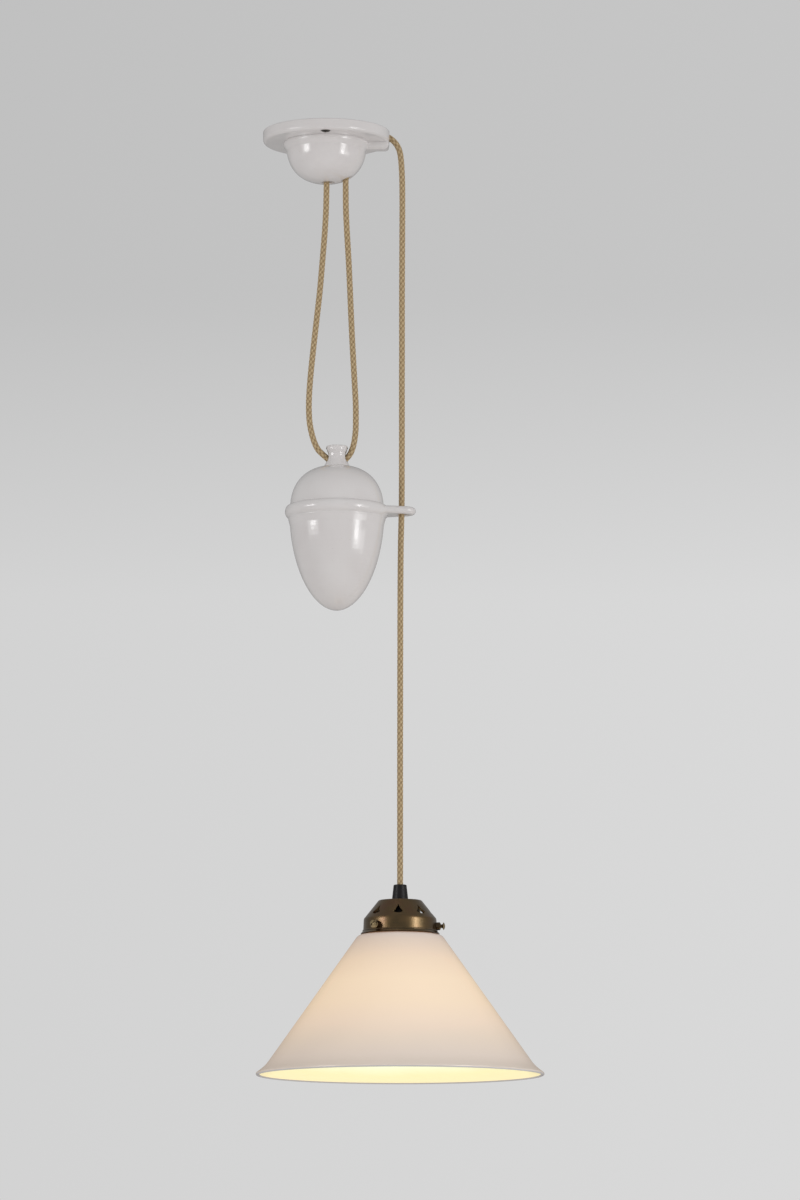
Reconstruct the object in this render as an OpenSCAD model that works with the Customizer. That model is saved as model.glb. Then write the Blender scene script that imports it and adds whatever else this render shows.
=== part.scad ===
// Rise and fall pendant: a porcelain ceiling rose, a porcelain counterweight that rides in a loop
// of flex, and a lamp with an opal glass shade. Millimetres, +Z up, the origin on the ceiling at
// the middle of the rose, the lamp to +X. The front is towards -Y.

/* [Hanging] */
// Height of the gallery's top below the ceiling
gallery_drop = 821; // [800:0.5:835]
// Height of the middle of the counterweight's ring below the ceiling
ring_drop = 410; // [395:1:415]
// Distance from the rose's axis to the lamp's axis
lamp_x = 78.5; // [77.5:0.1:79.5]
// Distance from the rose's axis to the counterweight's axis
weight_x = 11.8; // [11:0.1:12.6]

/* [Flex] */
// Diameter of the braided flex
flex_d = 6.3; // [5.8:0.1:6.5]
// Diameter of one insulated core inside the flex
core_d = 1.9; // [1.6:0.1:2.1]

/* [Rose] */
// Radius of the rose's plate
rose_r = 67.5; // [66:0.5:72]
// Thickness of the rose's plate
plate_t = 12; // [10.5:0.1:12]
// Radius of the rounded lower edge of the plate
plate_round = 3.6; // [1:0.1:4]
// Radius of the shoulder where the dome leaves the plate
shoulder_r = 46; // [45:0.1:47]
// Radius of the rose's dome
dome_r = 42.6; // [41.5:0.1:43.5]
// Height of the rose from the ceiling to the bottom of its dome
dome_h = 55.2; // [53:0.1:60]
// Wall thickness of the rose's porcelain
rose_wall = 4; // [3.5:0.1:4.5]
// Thickness left under the hollow in the plate's back
plate_floor = 5; // [4:0.1:7]
// Width of the plate's rim on the ceiling side
plate_rim = 5; // [4:0.1:7]
// Width of the cord channel's housing under the plate
channel_w = 19; // [16:0.5:24]
// Height of the cord channel's housing from the ceiling
channel_h = 19.5; // [18.5:0.1:21]
// Distance between the two fixing holes
fixing_pitch = 118; // [112:0.5:120]
// Diameter of the fixing holes
fixing_d = 4.5; // [3.5:0.1:5]
// Diameter of the countersinks of the fixing holes
countersink_d = 10.5; // [8:0.1:12]
// Radius of the throat of the fixed strand's hole
anchor_hole_r = 5.2; // [4.6:0.1:5.6]
// Radius of the throat of the running strand's hole
running_hole_r = 4.6; // [4.2:0.1:5]
// Tilt of the running strand's hole
running_hole_tilt = 25; // [15:1:30]

/* [Rose chassis] */
// Height of the chassis plate's top below the ceiling
chassis_drop = 20.5; // [20:0.1:22]
// Thickness of the chassis plate
chassis_t = 1.5; // [1:0.1:2]
// Radius of the flex's middle on the rose's pulley
pulley_pitch_r = 10.3; // [10:0.1:10.5]
// Radius of the rose pulley's flanges
pulley_flange_r = 9; // [8.5:0.1:9.3]
// Width of the rose's pulley
pulley_w = 9.4; // [8.6:0.1:9.8]
// Diameter of the rose pulley's axle
pulley_axle_d = 4; // [3:0.1:5]
// Length of the terminal block
block_l = 27; // [24:0.5:30]
// Width of the terminal block
block_w = 10; // [9:0.5:11]
// Height of the terminal block
block_h = 11; // [9:0.5:13]
// Length of the flex under the cord clamp
clamp_w = 4.5; // [3.5:0.1:5.5]

/* [Counterweight] */
// Radius of the counterweight's body at its ring
body_r = 50.1; // [48:0.1:52]
// Depth of the body from the middle of the ring to the bottom
body_h = 105; // [98:0.2:112]
// Height of the cap's dome above the middle of the ring
cap_h = 49.4; // [46:0.2:50]
// Wall thickness of the counterweight's porcelain
weight_wall = 5; // [4:0.1:6]
// Radius of the ring round the counterweight
ring_r = 54.8; // [53:0.1:57]
// Height of the ring
ring_h = 12.8; // [11:0.1:14]
// Radius of the neck's head
neck_r = 11.5; // [10.8:0.1:12]
// Radius of the neck's waist
waist_r = 9.8; // [9.2:0.1:10]
// Height of the neck's top above the middle of the ring
neck_h = 70.5; // [70:0.1:72]
// Radius of the flex's middle on the neck's roller
roller_pitch_r = 9.6; // [9.5:0.1:10]
// Radius of the roller's flanges
roller_flange_r = 8; // [7:0.1:8.2]
// Width of the roller
roller_w = 8; // [7.4:0.1:8.4]
// Diameter of the roller's axle
roller_axle_d = 3.5; // [2.5:0.1:4]
// Height of the cast ballast in the body
ballast_h = 73; // [60:1:85]
// Distance from the counterweight's axis to the guide eye
eye_x = 70.1; // [69.5:0.1:70.5]
// Radius of the guide arm's rounded end
eye_r = 13.2; // [12:0.1:15]
// Radius of the guide eye's throat
eye_throat_r = 5.2; // [4.8:0.1:5.4]
// Thickness of the guide arm
arm_t = 8; // [8:0.1:11]

/* [Gallery] */
// Radius of the gallery's flat top
gallery_top_r = 23.4; // [21:0.1:26]
// Radius of the gallery's wall
gallery_r = 38; // [37:0.1:40]
// Height of the gallery's cone
gallery_cone_h = 19.9; // [19:0.1:24]
// Height of the gallery over all
gallery_h = 35.4; // [35:0.1:38]
// Radius of the gallery's lip
gallery_lip_r = 41.2; // [40.6:0.1:42.5]
// Thickness of the gallery's sheet metal
gallery_t = 1; // [0.6:0.1:1.2]
// Number of air vents round the gallery's cone
vent_n = 8; // [6:1:10]
// Width of an air vent
vent_w = 11.2; // [8:0.1:12]
// Height of an air vent along the cone
vent_h = 12.4; // [10:0.1:14]
// Height of the thumb screws below the gallery's top
thumb_drop = 27.5; // [26.5:0.1:28.5]
// Diameter of the thumb screws' thread
thumb_d = 4; // [3:0.1:5]
// Diameter of the thumb screws' heads
thumb_head_d = 7.8; // [7:0.1:9]

/* [Cord grip and lampholder] */
// Height of the cord grip
grip_h = 15.6; // [14:0.1:18]
// Radius of the cord grip at its foot
grip_foot_r = 8.45; // [7.5:0.05:10]
// Radius of the cord grip at its top
grip_top_r = 6.85; // [6:0.05:7.2]
// Outer diameter of the threaded nipple
nipple_d = 10; // [9:0.1:11]
// Radius of the lampholder
holder_r = 19.5; // [18.5:0.1:22]
// Height of the lampholder
holder_h = 54; // [52:0.5:58]

/* [Bulb] */
// Outer radius of the bulb's screw cap
cap_r = 13.1; // [12:0.05:13.3]
// Radius of the bulb's glass
bulb_r = 30; // [24:0.5:33]
// Length of the bulb over all
bulb_h = 105; // [95:1:112]

/* [Shade] */
// Outer radius of the shade's rim
shade_r = 150; // [120:1:170]
// Slope of the shade's side from the vertical
shade_slope = 35.3; // [30:0.1:42]
// Slope of the flared rim from the vertical
flare_slope = 52; // [45:0.5:60]
// Thickness of the shade's glass
glass_t = 3.2; // [2.6:0.1:4]
// Radius of the shade's neck
neck_glass_r = 33; // [31:0.1:34]
// Radius of the lip on the shade's neck
fitter_lip_r = 36; // [35:0.1:36.4]

/* [Hidden] */
$fn = 96;

run_gap = 0.05;      // turning pin in its bore
seat_gap = 0.05;     // fixed piece in its seat
slip_gap = 0.3;      // pieces that pass or lie against each other
big = 400;           // longer than anything that it cuts

porcelain = [0.93, 0.92, 0.90];
old_brass = [0.36, 0.29, 0.19];
bright_brass = [0.78, 0.62, 0.32];
steel = [0.72, 0.73, 0.74];
black = [0.07, 0.07, 0.07];
flax = [0.66, 0.55, 0.36];
cream = [0.98, 0.93, 0.84];

flex_r = flex_d / 2;

// Points of an arc, from angle a to angle b
function arc(c, r, a, b, n = 12) =
    [for (i = [0:n]) let (t = a + (b - a) * i / n) c + r * [cos(t), sin(t)]];

// Points of a superellipse's quarter below c, from its side at t = 0 down to its bottom at t = 90
function quarter_below(c, a, b, e, t0 = 0, t1 = 90, n = 22) =
    [for (i = [0:n]) let (t = t0 + (t1 - t0) * i / n)
        c + [a * pow(max(cos(t), 0), 2 / e), -b * pow(max(sin(t), 0), 2 / e)]];

// Height of such a quarter's surface over its radius r
function quarter_depth(r, a, b, e) = b * pow(1 - pow(r / a, e), 1 / e);

// Points of a cubic curve
function curve(p, q, r, s, n = 10) =
    [for (i = [0:n]) let (t = i / n, u = 1 - t)
        u * u * u * p + 3 * u * u * t * q + 3 * u * t * t * r + t * t * t * s];

module tube(r_out, r_in, h) {
    difference() {
        cylinder(r = r_out, h = h);
        translate([0, 0, -1]) cylinder(r = r_in, h = h + 2);
    }
}

// A cylinder along Y, centred
module cross_pin(r, l) {
    rotate([90, 0, 0]) cylinder(r = r, h = l, center = true);
}

// The space of a bore along +Z that opens over a rounded lip: the throat ends at z = 0
module flared_bore(r, lip, throat_l, mouth_l) {
    translate([0, 0, -throat_l]) cylinder(r = r, h = throat_l + 0.01);
    rotate_extrude() intersection() {
        difference() {
            square([r + lip, mouth_l]);
            translate([r + lip, 0]) circle(r = lip);
        }
        square([r + lip, mouth_l]);
    }
}

// A grooved wheel round Y for a flex whose middle runs at pitch_r
module grooved_wheel(pitch_r, flange_r, w, bore_r) {
    rotate([90, 0, 0]) rotate_extrude() difference() {
        translate([bore_r, -w / 2]) square([flange_r - bore_r, w]);
        translate([pitch_r, 0]) circle(r = flex_r + slip_gap);
    }
}

// A tube of flex along points of the XZ plane
function heading(p, i) =
    let (d = p[min(i + 1, len(p) - 1)] - p[max(i - 1, 0)]) d / norm(d);
module swept_flex(route, sides = 8) {
    n = len(route);
    rings = [for (i = [0:n - 1], j = [0:sides - 1])
        let (t = heading(route, i), a = 360 * j / sides)
        [route[i].x + flex_r * cos(a) * t.y, flex_r * sin(a), route[i].y - flex_r * cos(a) * t.x]];
    walls = [for (i = [0:n - 2], j = [0:sides - 1])
        let (k = (j + 1) % sides, a = i * sides)
        each [[a + j, a + k, a + sides + k], [a + j, a + sides + k, a + sides + j]]];
    polyhedron(rings, concat(walls,
        [[for (j = [sides - 1:-1:0]) j]], [[for (j = [0:sides - 1]) (n - 1) * sides + j]]));
}

// A pan-head screw along -Z: its head stands on z = 0
module pan_screw(d, l, head_r, head_h) {
    translate([0, 0, -l]) cylinder(r = d / 2, h = l + 0.01);
    difference() {
        cylinder(r = head_r, h = head_h);
        translate([0, 0, head_h]) cube([2 * head_r + 1, head_r / 4, head_h], center = true);
    }
}

// ---- Rose ----

dome_top = -plate_t - 0.7;              // where the dome's curve starts
dome_power = 2.35;                       // fuller than an ellipse
dome_b = dome_h + dome_top;             // depth of the dome's curve
hollow_r = dome_r - rose_wall;
hollow_b = dome_b - rose_wall;
chassis_z = -chassis_drop;
shelf_z = chassis_z - chassis_t;
pulley_x = 20.6 + pulley_pitch_r;       // the running strand hangs at x = 20.6
exit_z = -flex_r - 0.85;                // middle of the flex in its channel
pulley_z = exit_z - pulley_pitch_r;
channel_r = flex_r + 0.55;
lip_r = 9.15;                           // rounding of the lip that the flex bends over
lip_x = rose_r - 7;
exit_bend_r = lip_r + flex_r + slip_gap;
exit_a = 40;                            // how far the flex bends down inside the channel
anchor_x = 0.2;                         // the fixed strand hangs here
anchor_hole_x = 1.9;
anchor_lip = 3.6;
running_lip = 2.8;
running_hole_x = 21.6;
running_hole_z = dome_top - quarter_depth(running_hole_x, dome_r, dome_b, dome_power);
lug_y = hollow_r - 6.2;                 // chassis screws, in lugs on the shelf
lug_x = 5;
lug_r = 4.5;
lug_l = 12;
insert_r = 2.6;
chassis_screw_d = 3;
axle_ear_t = 1.4;
ear_gap = 0.5;                          // beside the pulley
ear_y = pulley_w / 2 + ear_gap;
fixing_boss_r = countersink_d / 2 + 2.5;
earth_x = -8;
earth_y = 25;
clamp_x = -11;
clamp_screw_y = 8;
clamp_screw_d = 3;
clamp_t = 1.5;
block_x = -28;

module rose_body() {
    color(porcelain) difference() {
        union() {
            difference() {
                union() {
                    rose_outside();
                    channel_housing();
                }
                rose_hollow();
                plate_recess();
            }
            chassis_shelf();
            for (s = [-1, 1]) translate([0, s * fixing_pitch / 2, -plate_t + 1])
                cylinder(r = fixing_boss_r, h = plate_t - 1);
        }
        fixing_holes();
        cord_channel();
        insert_holes();
        translate([pulley_x, 0, pulley_z]) cross_pin(pulley_flange_r + 0.8, 2 * ear_y + 0.6);
        translate([anchor_hole_x, 0, -dome_h + anchor_lip]) rotate([180, 0, 0])
            flared_bore(anchor_hole_r, anchor_lip, 3 * rose_wall, anchor_lip + 1);
        translate([running_hole_x, 0, running_hole_z]) rotate([0, 180 - running_hole_tilt, 0])
            translate([0, 0, -running_lip])
                flared_bore(running_hole_r, running_lip, 3 * rose_wall, running_lip + 1.5);
    }
}

module rose_outside() {
    rotate_extrude() polygon(concat(
        [[0, 0]],
        arc([rose_r - 1, -1], 1, 90, 0, 4),
        arc([rose_r - plate_round, -plate_t + plate_round], plate_round, 0, -90, 8),
        arc([shoulder_r - 4.5, -plate_t - 1.9], 4.5, 25, -48, 8),
        quarter_below([0, dome_top], dome_r, dome_b, dome_power, 8, 90)));
}

module rose_hollow() {
    rotate_extrude() polygon(concat(
        [[0, 1], [hollow_r, 1]],
        quarter_below([0, dome_top], hollow_r, hollow_b, dome_power)));
}

// The hollow in the plate's back, left solid round the cord channel
module plate_recess() {
    difference() {
        translate([0, 0, plate_floor - plate_t])
            tube(rose_r - plate_rim, dome_r + 0.5, plate_t);
        translate([0, -channel_w / 2, -plate_t]) cube([big, channel_w, 2 * plate_t]);
    }
}

module channel_housing() {
    edge = channel_w * 0.29;
    corner = 6;
    x0 = hollow_r + 0.5;
    l = rose_r - 0.6 - x0;
    intersection() {
        translate([x0, 0, 0]) rotate([90, 0, 90]) linear_extrude(l) union() {
            translate([-channel_w / 2, edge - channel_h]) square([channel_w, channel_h - edge - 1]);
            translate([edge - channel_w / 2, -channel_h]) square([channel_w - 2 * edge, edge + 1]);
            for (s = [-1, 1]) translate([s * (channel_w / 2 - edge), edge - channel_h])
                circle(r = edge);
        }
        translate([0, channel_w, 0]) rotate([90, 0, 0]) linear_extrude(2 * channel_w) union() {
            translate([x0, corner - channel_h]) square([l, channel_h - corner]);
            translate([x0, -channel_h]) square([l - corner, corner + 1]);
            translate([x0 + l - corner, corner - channel_h]) circle(r = corner);
        }
        translate([0, 0, -channel_h]) cylinder(r = rose_r - 0.6, h = channel_h);
    }
}

module chassis_shelf() {
    rotate_extrude() polygon([
        [hollow_r - 4.5, shelf_z], [hollow_r + 1, shelf_z],
        [hollow_r, shelf_z - 8], [hollow_r - 4.5, shelf_z - 3]]);
    for (s = [-1, 1]) translate([lug_x, s * lug_y, shelf_z - lug_l]) cylinder(r = lug_r, h = lug_l);
}

module fixing_holes() {
    for (s = [-1, 1]) translate([0, s * fixing_pitch / 2, 0]) {
        translate([0, 0, -plate_t - 1]) cylinder(r = fixing_d / 2, h = plate_t + 2);
        translate([0, 0, -plate_t - 0.01])
            cylinder(r1 = countersink_d / 2, r2 = fixing_d / 2, h = (countersink_d - fixing_d) / 2);
    }
}

// Open to the ceiling, and flared where the flex bends over the rim
module cord_channel() {
    translate([hollow_r - 3, -channel_r, exit_z]) cube([big, 2 * channel_r, big]);
    translate([lip_x, 0, exit_z]) rotate([0, 90, 0])
        flared_bore(channel_r, lip_r, lip_x - hollow_r + 3, 7.5);
}

module insert_holes() {
    for (s = [-1, 1]) translate([lug_x, s * lug_y, shelf_z - lug_l + 2])
        cylinder(r = insert_r + seat_gap, h = lug_l);
}

module chassis_plate() {
    color(steel) difference() {
        union() {
            translate([0, 0, shelf_z]) cylinder(r = hollow_r - 0.6, h = chassis_t);
            for (s = [-1, 1]) translate([pulley_x - 5, s * (ear_y + axle_ear_t / 2), shelf_z])
                translate([0, -axle_ear_t / 2, 0]) cube([10, axle_ear_t, pulley_z - shelf_z]);
            for (s = [-1, 1]) translate([pulley_x, s * (ear_y + axle_ear_t / 2), pulley_z])
                cross_pin(5, axle_ear_t);
        }
        // the slot for the pulley and the running strand
        translate([20.6 - flex_r - 2, -ear_y, shelf_z - 1]) cube([big, 2 * ear_y, chassis_t + 2]);
        translate([pulley_x, 0, pulley_z]) cross_pin(pulley_axle_d / 2 + seat_gap, 40);
        // the slot that the fixed strand comes up through
        translate([anchor_x, 0, shelf_z - 1]) {
            cylinder(r = flex_r + 1, h = chassis_t + 2);
            translate([-8, -flex_r - 1, 0]) cube([8, 2 * flex_r + 2, chassis_t + 2]);
        }
        for (s = [-1, 1]) {
            translate([lug_x, s * lug_y, shelf_z - 1])
                cylinder(r = chassis_screw_d / 2 + 0.1, h = chassis_t + 2);
            translate([clamp_x, s * clamp_screw_y, shelf_z - 1])
                cylinder(r = clamp_screw_d / 2 + seat_gap, h = chassis_t + 2);
        }
        translate([earth_x, earth_y, shelf_z - 1]) cylinder(r = 2 + seat_gap, h = chassis_t + 2);
        translate([block_x, 0, shelf_z - 1]) cylinder(r = 1.5 + seat_gap, h = chassis_t + 2);
    }
}

module chassis_inserts() {
    color(bright_brass) for (s = [-1, 1]) translate([lug_x, s * lug_y, shelf_z - lug_l + 2])
        tube(insert_r, chassis_screw_d / 2, lug_l - 2);
}

module chassis_screws() {
    color(steel) for (s = [-1, 1]) translate([lug_x, s * lug_y, chassis_z])
        pan_screw(chassis_screw_d - 2 * run_gap, 8, 2.8, 2);
}

module rose_pulley() {
    color(bright_brass) translate([pulley_x, 0, pulley_z])
        grooved_wheel(pulley_pitch_r, pulley_flange_r, pulley_w, pulley_axle_d / 2 + run_gap);
}

axle_l = 2 * (ear_y + axle_ear_t) + 2.4;    // what stands between the head and the pin's end
module pulley_axle() {
    color(steel) translate([pulley_x, -ear_y - axle_ear_t, pulley_z]) rotate([-90, 0, 0])
        difference() {
            union() {
                cylinder(r = pulley_axle_d / 2, h = axle_l);
                translate([0, 0, -1.2]) cylinder(r = pulley_axle_d / 2 + 1.2, h = 1.2);
            }
            translate([0, 0, axle_l - 1.6]) tube(pulley_axle_d, pulley_axle_d / 2 - 0.5, 0.8);
        }
}

module axle_clip() {
    color(steel) translate([pulley_x, ear_y + axle_ear_t + 0.85, pulley_z]) rotate([-90, 0, 0])
        difference() {
            tube(pulley_axle_d / 2 + 1.6, pulley_axle_d / 2 - 0.45, 0.7);
            translate([0, -pulley_axle_d / 4, -1]) cube([10, pulley_axle_d / 2, 3]);
        }
}

module block_screw() {
    color(steel) translate([block_x, 0, shelf_z - 0.01]) rotate([180, 0, 0])
        pan_screw(3, chassis_t + 2, 2.6, 1.6);
}

pole_pitch = block_l / 3;
module terminal_block() {
    color("ivory") difference() {
        translate([block_x - block_w / 2, -block_l / 2, chassis_z]) cube([block_w, block_l, block_h]);
        for (i = [-1, 1]) translate([block_x - block_w, i * pole_pitch / 2 - 0.6, chassis_z + 2.5])
            cube([2 * block_w, 1.2, block_h]);
        for (i = [-1:1]) {
            translate([block_x, i * pole_pitch, chassis_z + 5]) rotate([0, 90, 0])
                cylinder(r = 2.5 + seat_gap, h = 2 * block_w, center = true);
            for (s = [-1, 1]) translate([block_x + s * 2.6, i * pole_pitch, chassis_z + 5])
                cylinder(r = 1.7, h = block_h);
        }
        translate([block_x, 0, chassis_z - 1]) cylinder(r = 1.5 + seat_gap, h = 3.3);
    }
}

module terminal_tubes() {
    color(bright_brass) for (i = [-1:1]) difference() {
        translate([block_x, i * pole_pitch, chassis_z + 5]) rotate([0, 90, 0])
            cylinder(r = 2.5, h = block_w - 1.6, center = true);
        translate([block_x, i * pole_pitch, chassis_z + 5]) rotate([0, 90, 0])
            cylinder(r = 1.5, h = block_w, center = true);
        for (s = [-1, 1]) translate([block_x + s * 2.6, i * pole_pitch, chassis_z + 5])
            cylinder(r = 1.3, h = block_h);
    }
}

module terminal_screws() {
    color(steel) for (i = [-1:1], s = [-1, 1])
        translate([block_x + s * 2.6, i * pole_pitch, chassis_z + 6]) difference() {
            cylinder(r = 1.3 - run_gap, h = 4);
            translate([0, 0, 4]) cube([4, 0.6, 1.6], center = true);
        }
}

flex_seat_z = chassis_z + flex_r + 0.1;      // middle of the flex where it lies on the chassis
module cord_clamp() {
    color(steel) difference() {
        union() {
            translate([clamp_x - clamp_w / 2, 0, flex_seat_z]) rotate([90, 0, 90])
                cylinder(r = flex_r + 0.1 + clamp_t, h = clamp_w);
            translate([clamp_x - clamp_w / 2, -clamp_screw_y - 3, chassis_z + 0.02])
                cube([clamp_w, 2 * clamp_screw_y + 6, clamp_t]);
        }
        translate([clamp_x - clamp_w, 0, flex_seat_z]) rotate([90, 0, 90])
            cylinder(r = flex_r + 0.1, h = 2 * clamp_w);
        translate([clamp_x - clamp_w, -flex_r - 0.1, chassis_z - 5])
            cube([2 * clamp_w, 2 * flex_r + 0.2, 5 + flex_r]);
        translate([clamp_x - clamp_w, -20, chassis_z - 10]) cube([2 * clamp_w, 40, 10.02]);
        for (s = [-1, 1]) translate([clamp_x, s * clamp_screw_y, chassis_z - 1])
            cylinder(r = clamp_screw_d / 2 + seat_gap, h = 5);
    }
}

module clamp_screws() {
    color(steel) for (s = [-1, 1]) translate([clamp_x, s * clamp_screw_y, chassis_z + clamp_t + 0.03])
        pan_screw(clamp_screw_d, clamp_t + chassis_t + 2, min(2.2, clamp_w / 2), 1.6);
}

module earth_screw() {
    color(bright_brass) translate([earth_x, earth_y, chassis_z + 0.01]) pan_screw(4, 4, 3.4, 2.4);
}

clamp_bend_r = 8;
sheath_end_x = clamp_x - clamp_w / 2 - 0.8;
module anchored_flex() {
    bend_z = flex_seat_z - clamp_bend_r;
    color(flax) {
        translate([anchor_x, 0, -dome_h]) cylinder(r = flex_r, h = dome_h + bend_z);
        translate([anchor_x - clamp_bend_r, 0, bend_z]) rotate([90, 0, 0])
            rotate_extrude(angle = 90) translate([clamp_bend_r, 0]) circle(r = flex_r);
        translate([sheath_end_x, 0, flex_seat_z]) rotate([0, 90, 0])
            cylinder(r = flex_r, h = anchor_x - clamp_bend_r - sheath_end_x);
    }
}

// Three cores that fan out from the flex, and their bare ends in the terminal block
module anchored_cores() {
    y_start = core_d / 2 + 0.1;
    to_x = block_x + block_w / 2 - 1.2;
    color("saddlebrown") for (i = [-1:1]) {
        q = [block_x + block_w / 2 + 1.2, i * pole_pitch, chassis_z + 5];
        p = [sheath_end_x - 0.9, i * 2 * y_start, flex_seat_z];
        d = q - p;
        translate(p) rotate([0, acos(d.z / norm(d)), atan2(d.y, d.x)])
            cylinder(r = core_d / 2, h = norm(d) + 0.5);
        translate([to_x, i * pole_pitch, chassis_z + 5]) rotate([0, 90, 0])
            cylinder(r = core_d / 2 - 0.25, h = q.x - to_x);
    }
}

running_x = pulley_x - pulley_pitch_r;
module pulley_flex() {
    z0 = running_hole_z;
    color(flax) {
        translate([running_x, 0, z0]) cylinder(r = flex_r, h = pulley_z - z0);
        translate([pulley_x, 0, pulley_z]) rotate([90, 0, 0]) rotate_extrude(angle = 90, start = 90)
            translate([pulley_pitch_r, 0]) circle(r = flex_r);
        translate([pulley_x, 0, exit_z]) rotate([0, 90, 0])
            cylinder(r = flex_r, h = lip_x - pulley_x);
        translate([lip_x, 0, exit_z - exit_bend_r]) rotate([90, 0, 0])
            rotate_extrude(angle = exit_a, start = 90 - exit_a)
                translate([exit_bend_r, 0]) circle(r = flex_r);
    }
}

// ---- Counterweight, drawn round its own axis with the ring at z = 0 ----

module at_weight() { translate([weight_x, 0, -ring_drop]) children(); }

cap_power = 2.42;
seam_z = ring_h / 2;                         // the cap stands on the ring
spigot_l = 13;
spigot_r = body_r - weight_wall - 0.5;
spigot_t = 4;
cement_t = 0.4;
neck_foot_r = 14;
crown_r = body_r - 0.6;                        // the cap's side
neck_foot_z = quarter_depth(neck_foot_r, crown_r, cap_h, cap_power);
body_power = 1.94;                           // a little leaner than an ellipse
arm_z = 0.7;                                 // middle of the arm over the ring's
roller_z = neck_h - 9.8;                     // the roller's axis over the ring
neck_slot_w = roller_w + 0.6;
slot_top = roller_z + roller_flange_r + 0.3;
pin_front = 1.6;                             // porcelain in front of the axle's blind end
plug_l = 1.5;

module weight_cap() {
    color(porcelain) at_weight() difference() {
        union() {
            rotate_extrude() polygon(concat(
                [[0, neck_h]],
                arc([neck_r - 1.6, neck_h - 1.6], 1.6, 90, 0, 6),
                curve([neck_r, neck_h - 3], [neck_r, neck_h - 6], [waist_r, neck_h - 6],
                      [waist_r, neck_h - 10.5]),
                curve([waist_r, neck_h - 11.5], [waist_r, neck_h - 15],
                      [neck_foot_r - 2.2, neck_foot_z + 4], [neck_foot_r, neck_foot_z]),
                [for (p = quarter_below([0, 0], crown_r, cap_h, cap_power, 74, 0))
                    [p.x, max(-p.y, seam_z)]],
                [[0, seam_z]]));
            translate([0, 0, seam_z - spigot_l]) cylinder(r = spigot_r, h = spigot_l + 0.01);
        }
        rotate_extrude() polygon(concat(
            [[0, seam_z - spigot_l - 1], [spigot_r - spigot_t, seam_z - spigot_l - 1]],
            [for (p = quarter_below([0, 0], crown_r - weight_wall, cap_h - weight_wall,
                                    cap_power))
                [min(p.x, spigot_r - spigot_t), -p.y]]));
        // the cord's slot, round below and closed above the roller
        intersection() {
            translate([0, 0, roller_z])
                cross_pin(roller_pitch_r + flex_r + 0.35, neck_slot_w);
            translate([-50, -50, roller_z - 50]) cube([100, 100, slot_top - roller_z + 50]);
        }
        // the axle's hole, blind at the front
        translate([0, 0, roller_z]) rotate([-90, 0, 0]) translate([0, 0, pin_front - waist_r])
            cylinder(r = roller_axle_d / 2 + seat_gap, h = 3 * waist_r);
    }
}

module joint_cement() {
    color("lightgray") at_weight() translate([0, 0, seam_z - spigot_l + 1])
        tube(spigot_r + cement_t, spigot_r + 0.04, spigot_l - 1.5);
}

module weight_body() {
    color(porcelain) at_weight() difference() {
        union() {
            rotate_extrude() polygon(concat([[0, seam_z]], ring_bead(),
                quarter_below([0, 0], body_r, body_h, body_power, 9, 90, 28)));
            translate([0, 0, arm_z]) guide_arm();
        }
        rotate_extrude() polygon(concat(
            [[0, seam_z + 1], [spigot_r + cement_t + 0.02, seam_z + 1],
             [spigot_r + cement_t + 0.02, seam_z - spigot_l - 0.3]],
            [for (p = quarter_below([0, 0], body_r - weight_wall, body_h - weight_wall, body_power, 0, 90, 28))
                if (p.y < seam_z - spigot_l - 1) p]));
        translate([eye_x, 0, arm_z]) for (s = [0, 180]) rotate([s, 0, 0])
            translate([0, 0, arm_t / 2 - 2.4]) flared_bore(eye_throat_r, 2.4, arm_t / 2, 3);
    }
}

// Outline of the rounded ring, from the cap's seat down, and of the small shoulder under it
function ring_bead() = let (root = body_r + 0.2, bulge = ring_r - root, half = ring_h / 2)
    concat([for (a = [90:-10:-60]) [root + bulge * cos(a), half * sin(a)]],
           arc([body_r - 0.9, -half - 1.2], 2.2, 18, -36, 6));

// A tongue with a fully rounded edge
module guide_arm() {
    difference() {
        hull() {
            translate([eye_x, 0, 0]) rounded_disc(eye_r, arm_t);
            translate([body_r - 12, 0, 0]) rounded_disc(22, arm_t);
        }
        cylinder(r = body_r - 1, h = big, center = true);
    }
}

module rounded_disc(r, t) {
    rotate_extrude($fn = 32) union() {
        translate([0, -t / 2]) square([r - t / 2, t]);
        intersection() {
            translate([r - t / 2, 0]) circle(r = t / 2, $fn = 32);
            translate([0, -t]) square([r + t, 2 * t]);
        }
    }
}

module weight_ballast() {
    r = body_r - weight_wall - 0.5;
    b = body_h - weight_wall - 0.5;
    color("dimgray") at_weight() rotate_extrude() polygon(concat(
        [[0, ballast_h - b]],
        [for (p = quarter_below([0, 0], r, b, body_power, 0, 90, 28)) if (p.y < ballast_h - b) p]));
}

module neck_roller() {
    color(bright_brass) at_weight() translate([0, 0, roller_z])
        grooved_wheel(roller_pitch_r, roller_flange_r, roller_w, roller_axle_d / 2 + run_gap);
}

axle_end = waist_r - plug_l - 0.6;           // the axle's rear end
module roller_axle() {
    y0 = pin_front - waist_r + 0.05;
    color(steel) at_weight() translate([0, y0, roller_z]) rotate([-90, 0, 0])
        cylinder(r = roller_axle_d / 2, h = axle_end - y0);
}

module axle_plug() {
    color("whitesmoke") at_weight() translate([0, axle_end + 0.02, roller_z]) rotate([-90, 0, 0])
        cylinder(r = roller_axle_d / 2 + seat_gap - 0.01, h = plug_l);
}

module roller_flex() {
    color(flax) at_weight() translate([0, 0, roller_z]) rotate([90, 0, 0])
        rotate_extrude(angle = 90, start = 225) translate([roller_pitch_r, 0]) circle(r = flex_r);
}

// ---- Lamp, drawn round its own axis with the gallery's top at z = 0 ----

module at_lamp() { translate([lamp_x, 0, -gallery_drop]) children(); }

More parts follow.
